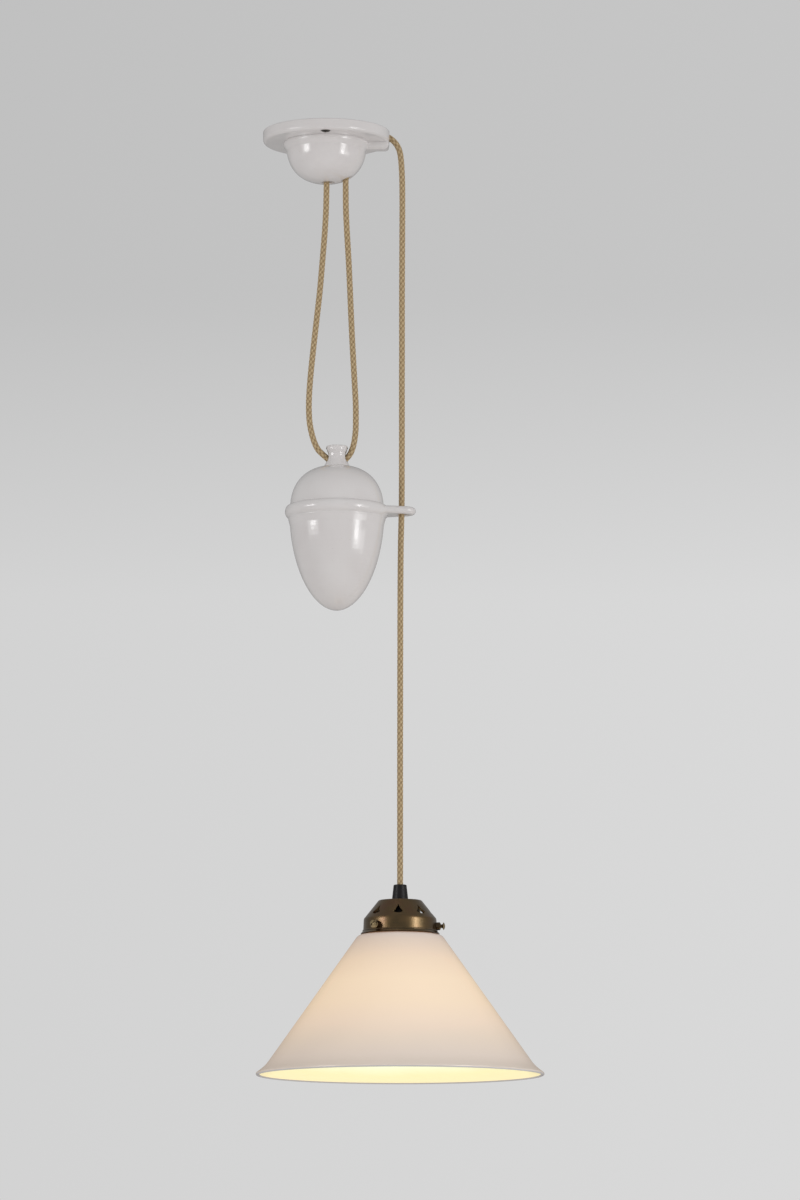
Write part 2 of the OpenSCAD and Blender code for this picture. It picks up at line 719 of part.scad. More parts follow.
washer_t = 0.8;
flex_end = washer_t + grip_h + 0.1;          // where the free flex meets the one in the grip
grip_bore_r = flex_r + 0.15;
nipple_bore_r = flex_r + 0.35;
nipple_up = 9;                               // how far the nipple stands in the grip
nipple_down = 8;
wall_lower_r = gallery_r + 0.4;
lip_h = 3;
thumb_n = 3;
thumb_a0 = -128;                             // the first thumb screw, from +X
boss_end = gallery_r + 3.8;
thumb_tip = neck_glass_r + 0.3;

function thumb_angle(i) = thumb_a0 + i * 360 / thumb_n;

module cord_grip() {
    color(black) at_lamp() translate([0, 0, washer_t]) difference() {
        rotate_extrude() polygon(concat(
            [[0, 0], [grip_foot_r - 0.4, 0], [grip_foot_r, 0.4]],
            arc([grip_top_r - 1, grip_h - 1], 1, 5, 90, 5),
            [[0, grip_h]]));
        translate([0, 0, -1]) cylinder(r = nipple_d / 2 + seat_gap, h = nipple_up + 1.3);
        cylinder(r = grip_bore_r, h = grip_h + 1);
        translate([0, 0, grip_h - 3.2]) rotate([-90, 0, 0])
            cylinder(r = 1.5 + seat_gap, h = 2 * grip_foot_r);
    }
}

module grip_screw() {
    color("whitesmoke") at_lamp() translate([0, flex_r + 0.05, washer_t + grip_h - 3.2])
        rotate([-90, 0, 0]) difference() {
            cylinder(r = 1.5, h = grip_top_r - flex_r - 0.35);
            translate([0, 0, grip_top_r - flex_r - 0.35]) cube([5, 0.6, 1.4], center = true);
        }
}

module grip_washer() {
    color(old_brass) at_lamp() tube(grip_foot_r - 0.2, nipple_d / 2 + 0.1, washer_t - 0.02);
}

module nipple() {
    color(bright_brass) at_lamp() translate([0, 0, -nipple_down])
        tube(nipple_d / 2, nipple_bore_r, nipple_down + nipple_up + washer_t);
}

gallery_cone_slope = atan2(gallery_cone_h, gallery_r - gallery_top_r);
module gallery() {
    cone_mid = [(gallery_top_r + gallery_r) / 2, -gallery_cone_h / 2 - 1];
    t_cone = gallery_t / sin(gallery_cone_slope);
    outside = concat(
        [[nipple_d / 2 + 0.1, 0]],
        arc([gallery_top_r - 2, -2], 2, 90, 90 - gallery_cone_slope, 5),
        [[gallery_r - 0.4, -gallery_cone_h + 0.8], [gallery_r, -gallery_cone_h - 0.8],
         [wall_lower_r, -gallery_h + lip_h + 1.4]],
        arc([wall_lower_r, -gallery_h + lip_h + 0.5], 0.9, 80, -40, 5),
        [[gallery_lip_r, -gallery_h + 0.6], [gallery_lip_r - 0.3, -gallery_h]]);
    inside = [
        [gallery_lip_r - 1.4 * gallery_t - 0.3, -gallery_h],
        [wall_lower_r - gallery_t, -gallery_h + lip_h + 0.4],
        [gallery_r - gallery_t, -gallery_cone_h - 1.2],
        [gallery_top_r - 0.5 - t_cone, -1 - gallery_t],
        [gallery_top_r - 1.5 - t_cone, -gallery_t],
        [nipple_d / 2 + 0.1, -gallery_t]];
    color(old_brass) at_lamp() difference() {
        rotate_extrude() polygon(concat(outside, inside));
        for (i = [0:vent_n - 1]) rotate([0, 0, -93.7 + i * 360 / vent_n])
            translate([cone_mid.x, 0, cone_mid.y]) rotate([0, gallery_cone_slope - 90, 0])
                rotate([90, 0, 90]) linear_extrude(12, center = true) air_vent();
        for (i = [0:thumb_n - 1]) rotate([0, 0, thumb_angle(i)]) translate([0, 0, -thumb_drop])
            rotate([0, 90, 0]) cylinder(r = thumb_d / 2 + seat_gap, h = 60);
    }
}

// A spade: pointed above, with hollow flanks, and rounded below
module air_vent() {
    side_z = -vent_h * 0.26;
    flank = vent_w * 1.5;
    half = vent_w / 2;
    rise = vent_h / 2 - side_z;
    chord = norm([half, rise]) / 2;
    away = sqrt(flank * flank - chord * chord);
    difference() {
        polygon([[-half, side_z], [half, side_z], [0, vent_h / 2]]);
        for (s = [-1, 1]) translate([s * (half / 2 + away * rise / 2 / chord),
                                     (side_z + vent_h / 2) / 2 + away * half / 2 / chord])
            circle(r = flank);
    }
    intersection() {
        sag = vent_h * 0.24;
        r = (half * half + sag * sag) / 2 / sag;
        translate([0, side_z - sag + r]) circle(r = r);
        translate([-half, side_z - vent_h]) square([vent_w, vent_h + 0.01]);
    }
}

module screw_bosses() {
    wall_r = gallery_r + 0.2;
    color(old_brass) at_lamp() for (i = [0:thumb_n - 1]) rotate([0, 0, thumb_angle(i)])
        difference() {
            translate([gallery_r - gallery_t, 0, -thumb_drop]) rotate([0, 90, 0])
                tube(4.15, thumb_d / 2 + run_gap, boss_end - gallery_r + gallery_t);
            translate([0, 0, -gallery_h - 10]) cylinder(r = wall_lower_r + 0.02, h = gallery_h + 20);
            translate([0, 0, -gallery_h + lip_h + 0.5]) rotate_extrude()
                translate([wall_lower_r, 0]) circle(r = 0.93);
        }
}

// Drawn along +X from the lamp's axis
module thumb_screw(slot_a) {
    rim = thumb_head_d / 2;
    x = boss_end + 0.1;
    translate([0, 0, -thumb_drop]) rotate([0, 90, 0]) difference() {
        union() {
            translate([0, 0, thumb_tip]) cylinder(r = thumb_d / 2, h = x - thumb_tip + 0.1);
            rotate_extrude() polygon(concat(
                [[0, x], [3.5, x], [3.6, x + 0.3]],
                curve([3.1, x + 0.7], [1.7, x + 1], [1.5, x + 1.9], [2.4, x + 2.9], 6),
                [[rim - 0.1, x + 3.7], [rim, x + 4.0]],
                arc([0, x + 5.4 - 6.5], 6.5, 52, 90, 8)));
        }
        translate([0, 0, x + 5.4]) rotate([0, 0, slot_a]) cube([12, 0.9, 2.2], center = true);
    }
}

module thumb_screw_1() {
    color(old_brass) at_lamp() rotate([0, 0, thumb_angle(0)]) thumb_screw(-50);
}
module thumb_screw_2() {
    color(old_brass) at_lamp() rotate([0, 0, thumb_angle(1)]) thumb_screw(15);
}
module thumb_screw_3() {
    color(old_brass) at_lamp() rotate([0, 0, thumb_angle(2)]) thumb_screw(70);
}

cap_h_holder = 22;                           // the lampholder's cap
insert_z = -gallery_t - 14;                  // top of the porcelain insert
thread_h = 24;
thread_z = -gallery_t - holder_h + 4;        // foot of the thread shell
contact_z = thread_z + thread_h + 0.6;       // where the bulb's tip touches

module holder_cap() {
    z = -gallery_t - 0.2;
    color(black) at_lamp() difference() {
        rotate_extrude() polygon(concat(
            [[0, z], [nipple_d / 2 + 2.4, z], [nipple_d / 2 + 2.4, z - 5]],
            arc([holder_r - 6, z - 12], 6, 80, 0, 7),
            [[holder_r, z - cap_h_holder], [0, z - cap_h_holder]]));
        translate([0, 0, z - 9]) cylinder(r = nipple_d / 2 + seat_gap, h = 20);
        rotate_extrude() polygon([
            [0, z - 8], [nipple_d / 2 + 1.5, z - 8], [holder_r - 5, z - 11], [holder_r - 2, z - 13],
            [holder_r - 2, z - cap_h_holder - 1], [0, z - cap_h_holder - 1]]);
    }
}

module holder_insert() {
    color(porcelain) at_lamp() difference() {
        translate([0, 0, contact_z + 1.2]) cylinder(r = holder_r - 2.3, h = insert_z - contact_z - 1.2);
        translate([0, 0, contact_z]) cylinder(r = 1.6, h = 40);
        for (s = [-1, 1]) translate([s * 10, 0, contact_z]) cylinder(r = 1.3, h = 40);
    }
}

module holder_shell() {
    z = -gallery_t - 0.2 - cap_h_holder;
    foot = -gallery_t - holder_h;
    color(black) at_lamp() difference() {
        rotate_extrude() polygon(concat(
            [[0, z - 0.1], [holder_r, z - 0.1], [holder_r, z - 3], [holder_r - 0.8, z - 4]],
            [[holder_r - 1.6, foot + 1], [holder_r - 2.6, foot], [0, foot]]));
        translate([0, 0, foot - 1]) cylinder(r = cap_r + 1.2, h = holder_h);
        translate([0, 0, contact_z + 1.1]) cylinder(r = holder_r - 2.2, h = holder_h);
    }
}

module holder_thread() {
    color(bright_brass) at_lamp() translate([0, 0, thread_z]) difference() {
        cylinder(r = cap_r + 1.15, h = thread_h);
        translate([0, 0, -1]) cylinder(r = cap_r + slip_gap, h = thread_h + 2);
    }
}

module centre_contact() {
    color(bright_brass) at_lamp() {
        translate([0, 0, contact_z + 0.1]) cylinder(r = 1.5, h = insert_z - contact_z + 1);
        translate([0, 0, contact_z + 0.1]) cylinder(r = 5, h = 1);
    }
}

module side_contact() {
    color(bright_brass) at_lamp() translate([10, 0, thread_z + thread_h + 0.02]) {
        cylinder(r = 1.2, h = insert_z - thread_z - thread_h + 1);
        cylinder(r = 3.6, h = 0.9);
    }
}

module holder_screws() {
    color(steel) at_lamp() for (p = [[0, 0], [10, 0]])
        translate([p.x, p.y, insert_z + 1.2]) pan_screw(0.8, 0.05, 2, 1.6);
}

module holder_flex() {
    foot = -gallery_t - 8.6;
    color(flax) at_lamp() translate([0, 0, foot]) cylinder(r = flex_r, h = flex_end - foot);
}

module holder_cores() {
    z = -gallery_t - 9.5;
    low = insert_z + 4;
    color("saddlebrown") at_lamp() for (p = [[0, 0, 0], [2.1, 0, 1]]) {
        q = [p.x + p.z * 6.5, 0, low];
        d = q - [p.x, 0, z];
        translate([p.x, 0, z]) rotate([0, acos(d.z / norm(d)), 0]) cylinder(r = core_d / 2, h = norm(d));
    }
}

// ---- Bulb ----

cap_l = 22;
module bulb_cap() {
    color("silver") at_lamp() rotate_extrude() polygon(concat(
        [[0, contact_z - 1.4], [6.5, contact_z - 1.4], [cap_r - 1.4, contact_z - 3.6]],
        [for (i = [0:4]) each [[cap_r - 0.8, contact_z - 4.4 - i * 3.3],
                               [cap_r - 0.1, contact_z - 5.2 - i * 3.3],
                               [cap_r, contact_z - 5.9 - i * 3.3],
                               [cap_r - 0.1, contact_z - 6.6 - i * 3.3]]],
        [[cap_r - 0.3, contact_z - cap_l], [0, contact_z - cap_l]]));
}

module bulb_contact() {
    color(black) at_lamp() translate([0, 0, contact_z - 1.38]) rotate_extrude() polygon([
        [0, 0], [5.6, 0], [4.8, 0.9], [2.2, 1.36], [0, 1.36]]);
}

bulb_top = contact_z - cap_l;
bulb_low = contact_z - bulb_h;
globe_z = bulb_low + bulb_r;
module bulb_outline(t) {
    polygon(concat(
        [[0, bulb_top - 0.02], [cap_r - 0.6 - t, bulb_top - 0.02]],
        curve([cap_r - 0.4 - t, bulb_top - 3], [cap_r + 0.6 - t, bulb_top - 18],
              [bulb_r * 0.72 - t, globe_z + bulb_r * 1.1], [(bulb_r - t) * 0.94, globe_z + (bulb_r - t) * 0.342]),
        arc([0, globe_z], bulb_r - t, 14, -90, 20)));
}

module bulb_glass() {
    color([0.95, 0.95, 0.9, 0.5]) at_lamp() difference() {
        rotate_extrude() bulb_outline(0);
        rotate_extrude() difference() {
            bulb_outline(0.9);
            translate([-1, bulb_top - 2]) square([40, 3]);
        }
    }
}

module bulb_stem() {
    color([0.9, 0.95, 0.95, 0.6]) at_lamp() difference() {
        rotate_extrude() polygon([
            [0, bulb_top - 2.1], [7, bulb_top - 2.1], [5, bulb_top - 10], [2.9, bulb_top - 20],
            [2.6, bulb_top - 34], [0, bulb_top - 34]]);
        filament_strips(0.92);
    }
}

// Four light strips, whose upper ends are fused into the stem
module filament_strips(r) {
    for (a = [45:90:315]) rotate([0, 0, a]) translate([8, 0, bulb_top - 52]) rotate([0, -10, 0])
        cylinder(r = r, h = 34);
}

module bulb_filaments() {
    color("gold") at_lamp() filament_strips(0.9);
}

// ---- Shade ----

// Its shoulder bends into a straight cone, and the rim flares. z = 0 is the gallery's top.
shade_shoulder_r = 8;
shade_flare_r = 40;
shade_top = -gallery_h - 0.5;
shade_fitter_z = -thumb_drop + thumb_d / 2 + 0.1;  // underside of the neck's lip, on the screws
fitter_lip_t = 3;
lay = [cos(shade_slope), sin(shade_slope)];        // square to the cone, outwards
fall = [sin(shade_slope), -cos(shade_slope)];      // down along the cone
flare_lay = [cos(flare_slope), sin(flare_slope)];
flare_fall = [sin(flare_slope), -cos(flare_slope)];
shoulder_c = [neck_glass_r + 6.3, shade_top - shade_shoulder_r];
cone_start = shoulder_c + shade_shoulder_r * lay;
flare_run = 6;
rim_round = glass_t / 2;
// how far the flare's bend and its straight run reach out
flare_reach = shade_flare_r * (lay - flare_lay) + flare_run * flare_fall;
rim_reach = glass_t / 2 * (1 - flare_lay.x);
cone_l = (shade_r - rim_reach - flare_reach.x - cone_start.x) / fall.x;
cone_end = cone_start + cone_l * fall;
flare_c = cone_end + shade_flare_r * lay;
flare_end = flare_c - shade_flare_r * flare_lay;
rim_c = flare_end + flare_run * flare_fall - rim_round * flare_lay;

module shade() {
    inner_neck = neck_glass_r - glass_t;
    color(cream) at_lamp() rotate_extrude() polygon(concat(
        [[inner_neck, shade_fitter_z + fitter_lip_t],
         [fitter_lip_r - 0.8, shade_fitter_z + fitter_lip_t],
         [fitter_lip_r, shade_fitter_z + fitter_lip_t - 0.8],
         [fitter_lip_r, shade_fitter_z + 0.6], [fitter_lip_r - 0.6, shade_fitter_z],
         [neck_glass_r, shade_fitter_z]],
        arc([neck_glass_r + 2.5, shade_top + 2.5], 2.5, 180, 270, 6),
        arc(shoulder_c, shade_shoulder_r, 90, shade_slope, 10),
        arc(flare_c, shade_flare_r, 180 + shade_slope, 180 + flare_slope, 8),
        arc(rim_c, rim_round, flare_slope, flare_slope - 180, 10),
        arc(flare_c, shade_flare_r + glass_t, 180 + flare_slope, 180 + shade_slope, 8),
        arc(shoulder_c, shade_shoulder_r - glass_t, shade_slope, 90, 8),
        arc([neck_glass_r + 2.5, shade_top + 2.5], 2.5 + glass_t, 270, 180, 8)));
}

// ---- Flex between the pieces: x and z of its middle ----

flex_gap = 0.08;                             // between a free length and the held one it goes on in

// Where the flex leaves the roller, on side s
function roller_end(s) =
    [weight_x + s * roller_pitch_r * cos(45), -ring_drop + roller_z - roller_pitch_r * sin(45)];

fixed_route = [
    [anchor_x, -dome_h - 0.1], [0.2, -62], [-0.3, -84.4], [-1.5, -107.7], [-4, -140.2],
    [-6.7, -172.6], [-10.2, -205], [-13.7, -237.4], [-16.7, -268.9], [-18, -293.2],
    [-17.4, -311.5], [-15.4, -323.8], [-12.2, -335], [-8.3, -343], [-4, -347.6],
    each [for (l = [4, flex_gap]) roller_end(-1) + l * [-cos(45), sin(45)]]
];
running_route = [
    [running_x, running_hole_z - 0.1], [20.6, -60], [20.9, -84.4], [22, -107.7], [23.9, -140.2],
    [25.4, -172.6], [26.8, -205], [28.4, -237.4], [30.2, -268.9], [31.5, -293.2],
    [31.7, -311.5], [31.4, -323.8], [30, -335], [28, -342.6], [25.6, -348],
    each [for (l = [4, flex_gap]) roller_end(1) + l * [cos(45), sin(45)]]
];
drop_route = [
    each [for (l = [flex_gap, 3]) [lip_x + exit_bend_r * sin(exit_a),
        exit_z - exit_bend_r * (1 - cos(exit_a))] + l * [cos(exit_a), -sin(exit_a)]],
    [73.1, -11.2], [75.7, -15], [78, -20.6], [79.3, -28], [80.1, -38], [80.7, -52],
    [80.9, -70], [80.9, -90], [80.8, -112], [80.7, -134], [80.6, -156], [80.5, -178], [80.5, -200],
    [80.5, -222], [80.5, -245], [80.4, -268], [80.4, -291], [80.4, -314], [80.4, -336],
    [80.3, -358], [80.3, -380], [80.2, -396], [80.1, -409], [79.8, -422], [79.4, -438],
    [79.1, -460], [78.9, -484], [78.8, -508], [78.7, -532], [78.7, -556], [78.6, -580],
    [78.6, -604], [78.6, -628], [78.5, -652], [78.5, -676], [78.5, -704], [78.5, -734],
    [78.5, -769],
    [lamp_x, -gallery_drop + flex_end + flex_gap]
];

module fixed_strand() { color(flax) swept_flex(fixed_route); }
module running_strand() { color(flax) swept_flex(running_route); }
module drop_flex() { color(flax) swept_flex(drop_route); }

rose_body();
chassis_plate();
chassis_inserts();
chassis_screws();
rose_pulley();
pulley_axle();
axle_clip();
terminal_block();
block_screw();
terminal_tubes();
terminal_screws();
cord_clamp();
clamp_screws();
earth_screw();
anchored_flex();
anchored_cores();
pulley_flex();
fixed_strand();
running_strand();
weight_cap();
joint_cement();
weight_body();
weight_ballast();
neck_roller();
roller_axle();
axle_plug();
roller_flex();
drop_flex();
cord_grip();
grip_screw();
grip_washer();
nipple();
gallery();
screw_bosses();
thumb_screw_1();
thumb_screw_2();
thumb_screw_3();
holder_cap();
holder_insert();
holder_shell();
holder_thread();
centre_contact();
side_contact();
holder_screws();
holder_flex();
holder_cores();
bulb_cap();
bulb_contact();
bulb_glass();
bulb_stem();
bulb_filaments();
shade();
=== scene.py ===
"""A rise and fall pendant: porcelain rose and counterweight, braided flex, opal glass shade.

Metres, in the frame of the CAD part: the origin is on the ceiling at the middle of the rose,
+Z is up, the lamp hangs at +X and the front is towards -Y.
"""
import math

import bmesh
import bpy
from mathutils import Matrix, Vector


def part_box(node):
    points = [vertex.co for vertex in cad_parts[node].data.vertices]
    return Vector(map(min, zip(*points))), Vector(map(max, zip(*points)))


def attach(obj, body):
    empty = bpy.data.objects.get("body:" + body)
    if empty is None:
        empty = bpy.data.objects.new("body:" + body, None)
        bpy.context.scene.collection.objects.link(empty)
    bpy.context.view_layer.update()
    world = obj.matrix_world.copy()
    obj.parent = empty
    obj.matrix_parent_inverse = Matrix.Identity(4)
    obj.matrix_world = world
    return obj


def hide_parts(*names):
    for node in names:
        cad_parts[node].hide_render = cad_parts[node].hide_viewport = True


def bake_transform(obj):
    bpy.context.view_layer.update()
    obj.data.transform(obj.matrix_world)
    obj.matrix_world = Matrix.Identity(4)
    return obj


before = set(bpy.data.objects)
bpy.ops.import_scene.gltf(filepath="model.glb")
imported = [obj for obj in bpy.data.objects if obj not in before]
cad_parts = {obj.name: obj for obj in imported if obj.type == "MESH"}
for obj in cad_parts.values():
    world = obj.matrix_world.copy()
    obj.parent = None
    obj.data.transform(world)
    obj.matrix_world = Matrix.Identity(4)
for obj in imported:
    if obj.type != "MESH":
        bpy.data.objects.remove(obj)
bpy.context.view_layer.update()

# ---- Camera ----
# A long lens almost 6 m away, a little below the shade's rim and looking up: it sees the
# glowing inside of the shade as a thin crescent, and the underside of the rose.
camera = bpy.data.objects.new("camera", bpy.data.cameras.new("camera"))
camera.data.sensor_fit = "VERTICAL"
camera.data.sensor_height = 36
camera.data.lens = 165.44
camera.data.clip_end = 100
camera.location = (0.0784, -5.74, -1.3616)
camera.rotation_euler = (math.radians(90 + 8.499), 0, 0)
bpy.context.scene.collection.objects.link(camera)
bpy.context.scene.camera = camera
bpy.context.scene.view_settings.view_transform = "Standard"

# ---- Free flex ----
# One length of round flex under a cotton braid, 6.3 mm thick. It is clamped in the rose, hangs
# down to the counterweight's neck, comes up into the rose and over its pulley, leaves it at the
# side, runs through the guide eye and carries the lamp.
flex_r = 0.00315
carriers = 8            # yarns wound each way
yarn_pitch = 2.07       # yarns crossed in one diameter along the flex
fixed_route = [
    (0.0002, -0.0553), (0.0002, -0.062), (-0.0003, -0.0844), (-0.0015, -0.1077),
    (-0.004, -0.1402), (-0.0067, -0.1726), (-0.0102, -0.205), (-0.0137, -0.2374),
    (-0.0167, -0.2689), (-0.018, -0.2932), (-0.0174, -0.3115), (-0.0154, -0.3238),
    (-0.0122, -0.335), (-0.0083, -0.343), (-0.004, -0.3476), (0.00218, -0.35326),
    (0.00496, -0.35603),
]
running_route = [
    (0.0206, -0.0514), (0.0206, -0.060), (0.0209, -0.0844), (0.022, -0.1077), (0.0239, -0.1402),
    (0.0254, -0.1726), (0.0268, -0.205), (0.0284, -0.2374), (0.0302, -0.2689), (0.0315, -0.2932),
    (0.0317, -0.3115), (0.0314, -0.3238), (0.030, -0.335), (0.028, -0.3426), (0.0256, -0.348),
    (0.02142, -0.35326), (0.01865, -0.35603),
]
drop_route = [
    (0.06866, -0.0070), (0.07090, -0.00888), (0.0731, -0.0112), (0.0757, -0.015), (0.078, -0.0206),
    (0.0793, -0.028), (0.0801, -0.038), (0.0807, -0.052), (0.0809, -0.070), (0.0809, -0.090),
    (0.0808, -0.112), (0.0807, -0.134), (0.0806, -0.156), (0.0805, -0.178), (0.0805, -0.200),
    (0.0805, -0.222), (0.0805, -0.245), (0.0804, -0.268), (0.0804, -0.291), (0.0804, -0.314),
    (0.0804, -0.336), (0.0803, -0.358), (0.0803, -0.380), (0.0802, -0.396), (0.0801, -0.409),
    (0.0798, -0.422), (0.0794, -0.438), (0.0791, -0.460), (0.0789, -0.484), (0.0788, -0.508),
    (0.0787, -0.532), (0.0787, -0.556), (0.0786, -0.580), (0.0786, -0.604), (0.0786, -0.628),
    (0.0785, -0.652), (0.0785, -0.676), (0.0785, -0.704), (0.0785, -0.734), (0.0785, -0.769),
    (0.0785, -0.80442),
]


def smooth(route, step):
    """Points step apart on a smooth curve through a route of (x, z)."""
    p = [Vector((x, 0, z)) for x, z in route]
    p = [2 * p[0] - p[1], *p, 2 * p[-1] - p[-2]]
    line = []
    for a, b, c, d in zip(p, p[1:], p[2:], p[3:]):
        n = max(1, round((c - b).length / step))
        for i in range(n):
            t = i / n
            line.append(0.5 * (2 * b + (c - a) * t + (2 * a - 5 * b + 4 * c - d) * t * t
                               + (3 * b - a - 3 * c + d) * t * t * t))
    return line + [p[-2]]


def yarn_height(u, v):
    """How far the braid stands out, 0 to 1, at u turns round and v diameters along."""
    a, b = carriers * u + yarn_pitch * v, carriers * u - yarn_pitch * v
    across, along = (a, b) if (math.floor(a) + math.floor(b)) % 2 == 0 else (b, a)
    return math.sin(math.pi * (across % 1)) ** 0.6 * (0.45 + 0.55 * math.sin(math.pi * (along % 1)))


def new_piece(name, bm, material=None):
    """A piece from finished mesh work, linked into the scene."""
    mesh = bpy.data.meshes.new(name)
    bm.to_mesh(mesh)
    bm.free()
    if material:
        mesh.materials.append(material)
    piece = bpy.data.objects.new(name, mesh)
    bpy.context.scene.collection.objects.link(piece)
    return piece


def braided(name, line, material, sides=40):
    """A braided tube round a line in the XZ plane, its yarns standing out, with UV along it."""
    bm = bmesh.new()
    rings, along = [], [0.0]
    for i, p in enumerate(line):
        if i:
            along.append(along[-1] + (p - line[i - 1]).length / (2 * flex_r))
        t = (line[min(i + 1, len(line) - 1)] - line[max(i - 1, 0)]).normalized()
        out = Vector((t.z, 0, -t.x))
        ring = []
        for j in range(sides):
            a = 2 * math.pi * j / sides
            r = flex_r + 0.00004 - 0.00030 * (1 - yarn_height(j / sides, along[i]))
            ring.append(bm.verts.new(p + r * (math.cos(a) * out + math.sin(a) * Vector((0, 1, 0)))))
        rings.append(ring)
    uv = bm.loops.layers.uv.new("UVMap")
    for i in range(len(rings) - 1):
        for j in range(sides):
            k = (j + 1) % sides
            face = bm.faces.new((rings[i][j], rings[i][k], rings[i + 1][k], rings[i + 1][j]))
            face.smooth = True
            for loop, u, v in zip(face.loops, (j, j + 1, j + 1, j), (i, i, i + 1, i + 1)):
                loop[uv].uv = (u / sides, along[v])
    for ring in (rings[0][::-1], rings[-1]):
        bm.faces.new(ring)
    bmesh.ops.recalc_face_normals(bm, faces=bm.faces)
    piece = new_piece(name, bm, material)
    return piece


def finish(name, **sockets):
    """A new finish: the material, its nodes and its shader, with the shader's sockets set."""
    material = bpy.data.materials.new(name)
    material.use_nodes = True
    nodes = material.node_tree.nodes
    shader = nodes["Principled BSDF"]
    for socket, value in sockets.items():
        shader.inputs[socket.replace("_", " ")].default_value = value
    return material, nodes, shader


def node(nodes, kind, inputs=(), **settings):
    """A new node with its settings, and its inputs set to values or linked."""
    made = nodes.new(kind)
    for key, value in settings.items():
        setattr(made, key, value)
    for i, value in dict(inputs).items():
        if isinstance(value, bpy.types.NodeSocket):
            made.id_data.links.new(value, made.inputs[i])
        else:
            made.inputs[i].default_value = value
    return made


def calc(nodes, operation, a, b=0.0, c=0.0):
    return node(nodes, "ShaderNodeMath", {0: a, 1: b, 2: c}, operation=operation).outputs[0]


def ramp(nodes, factor, *stops, steps=False):
    """Colours at places from 0 to 1, blended or in steps."""
    made = node(nodes, "ShaderNodeValToRGB", {0: factor})
    made.color_ramp.interpolation = "CONSTANT" if steps else "LINEAR"
    elements = made.color_ramp.elements
    for _ in range(len(stops) - 2):
        elements.new(0.5)
    for element, (place, colour) in zip(elements, stops):
        element.position, element.color = place, (*colour, 1)
    return made.outputs[0]


def vector(nodes, operation, a, b=(0, 0, 0)):
    """A sum with vectors: a vector comes out, or a number from LENGTH and DOT_PRODUCT."""
    made = node(nodes, "ShaderNodeVectorMath", {0: a, 1: b}, operation=operation)
    return made.outputs["Value" if operation in ("LENGTH", "DOT_PRODUCT") else "Vector"]


def place_from(nodes, origin=(0, 0, 0)):
    """The place on the piece, measured from an origin."""
    return vector(nodes, "SUBTRACT", node(nodes, "ShaderNodeTexCoord").outputs["Object"], origin)


def along(nodes, axis, place):
    """One of a place's X, Y and Z."""
    return node(nodes, "ShaderNodeSeparateXYZ", {0: place}).outputs[axis]


def surface(nodes):
    """The way the surface faces, before any bumps."""
    return node(nodes, "ShaderNodeNewGeometry").outputs["True Normal"]


def between(nodes, value, low, high, at_low=0.0, at_high=1.0):
    """A value spread from at_low to at_high between two limits."""
    return node(nodes, "ShaderNodeMapRange", {0: value, 1: low, 2: high,
                                              3: at_low, 4: at_high}).outputs[0]


def speckle(nodes, scale, detail=3.0, rough=0.5, where="Object", stretch=(1, 1, 1)):
    """Noise from 0 to 1 over a piece, finer with scale."""
    place = node(nodes, "ShaderNodeTexCoord").outputs[where]
    if stretch != (1, 1, 1):
        place = vector(nodes, "MULTIPLY", place, stretch)
    return node(nodes, "ShaderNodeTexNoise", {"Vector": place, "Scale": scale, "Detail": detail,
                                              "Roughness": rough}).outputs[0]


def mixed(nodes, share, one, other, blend="MIX"):
    """Two colours, or colour sockets, mixed by a share."""
    one, other = ((*c, 1) if isinstance(c, tuple) else c for c in (one, other))
    return node(nodes, "ShaderNodeMix", {0: share, 6: one, 7: other},
                data_type="RGBA", blend_type=blend).outputs[2]


def relief(nodes, shader, height, depth, strength=1.0, rounded=0.0):
    """A height from 0 to 1 as bumps so many metres deep, and edges that look rounded."""
    bump = node(nodes, "ShaderNodeBump", {"Height": height, "Distance": depth,
                                          "Strength": strength})
    if rounded:
        edge = node(nodes, "ShaderNodeBevel", {"Radius": rounded}, samples=6)
        nodes.id_data.links.new(edge.outputs[0], bump.inputs["Normal"])
    nodes.id_data.links.new(bump.outputs[0], shader.inputs["Normal"])


def paint(nodes, shader, socket, value):
    nodes.id_data.links.new(value, shader.inputs[socket])


# The braid: yarns light and dark by turns one way, and an even rosy tan the other way.
braid, nodes, shader = finish("cotton_braid", Roughness=0.9, Sheen_Weight=0.12, Sheen_Roughness=0.5,
                              Specular_IOR_Level=0.25)
wound = node(nodes, "ShaderNodeTexCoord").outputs["UV"]
turn = calc(nodes, "MULTIPLY", along(nodes, "X", wound), carriers)
pitch = calc(nodes, "MULTIPLY", along(nodes, "Y", wound), yarn_pitch)
one_way, other_way = calc(nodes, "ADD", turn, pitch), calc(nodes, "SUBTRACT", turn, pitch)
count_one, count_other = calc(nodes, "FLOOR", one_way), calc(nodes, "FLOOR", other_way)
one_on_top = calc(nodes, "LESS_THAN", calc(nodes, "FLOORED_MODULO",
                                           calc(nodes, "ADD", count_one, count_other), 2.0), 0.5)


def on_top(if_one, if_other):
    difference = calc(nodes, "SUBTRACT", if_one, if_other)
    return calc(nodes, "MULTIPLY_ADD", one_on_top, difference, if_other)


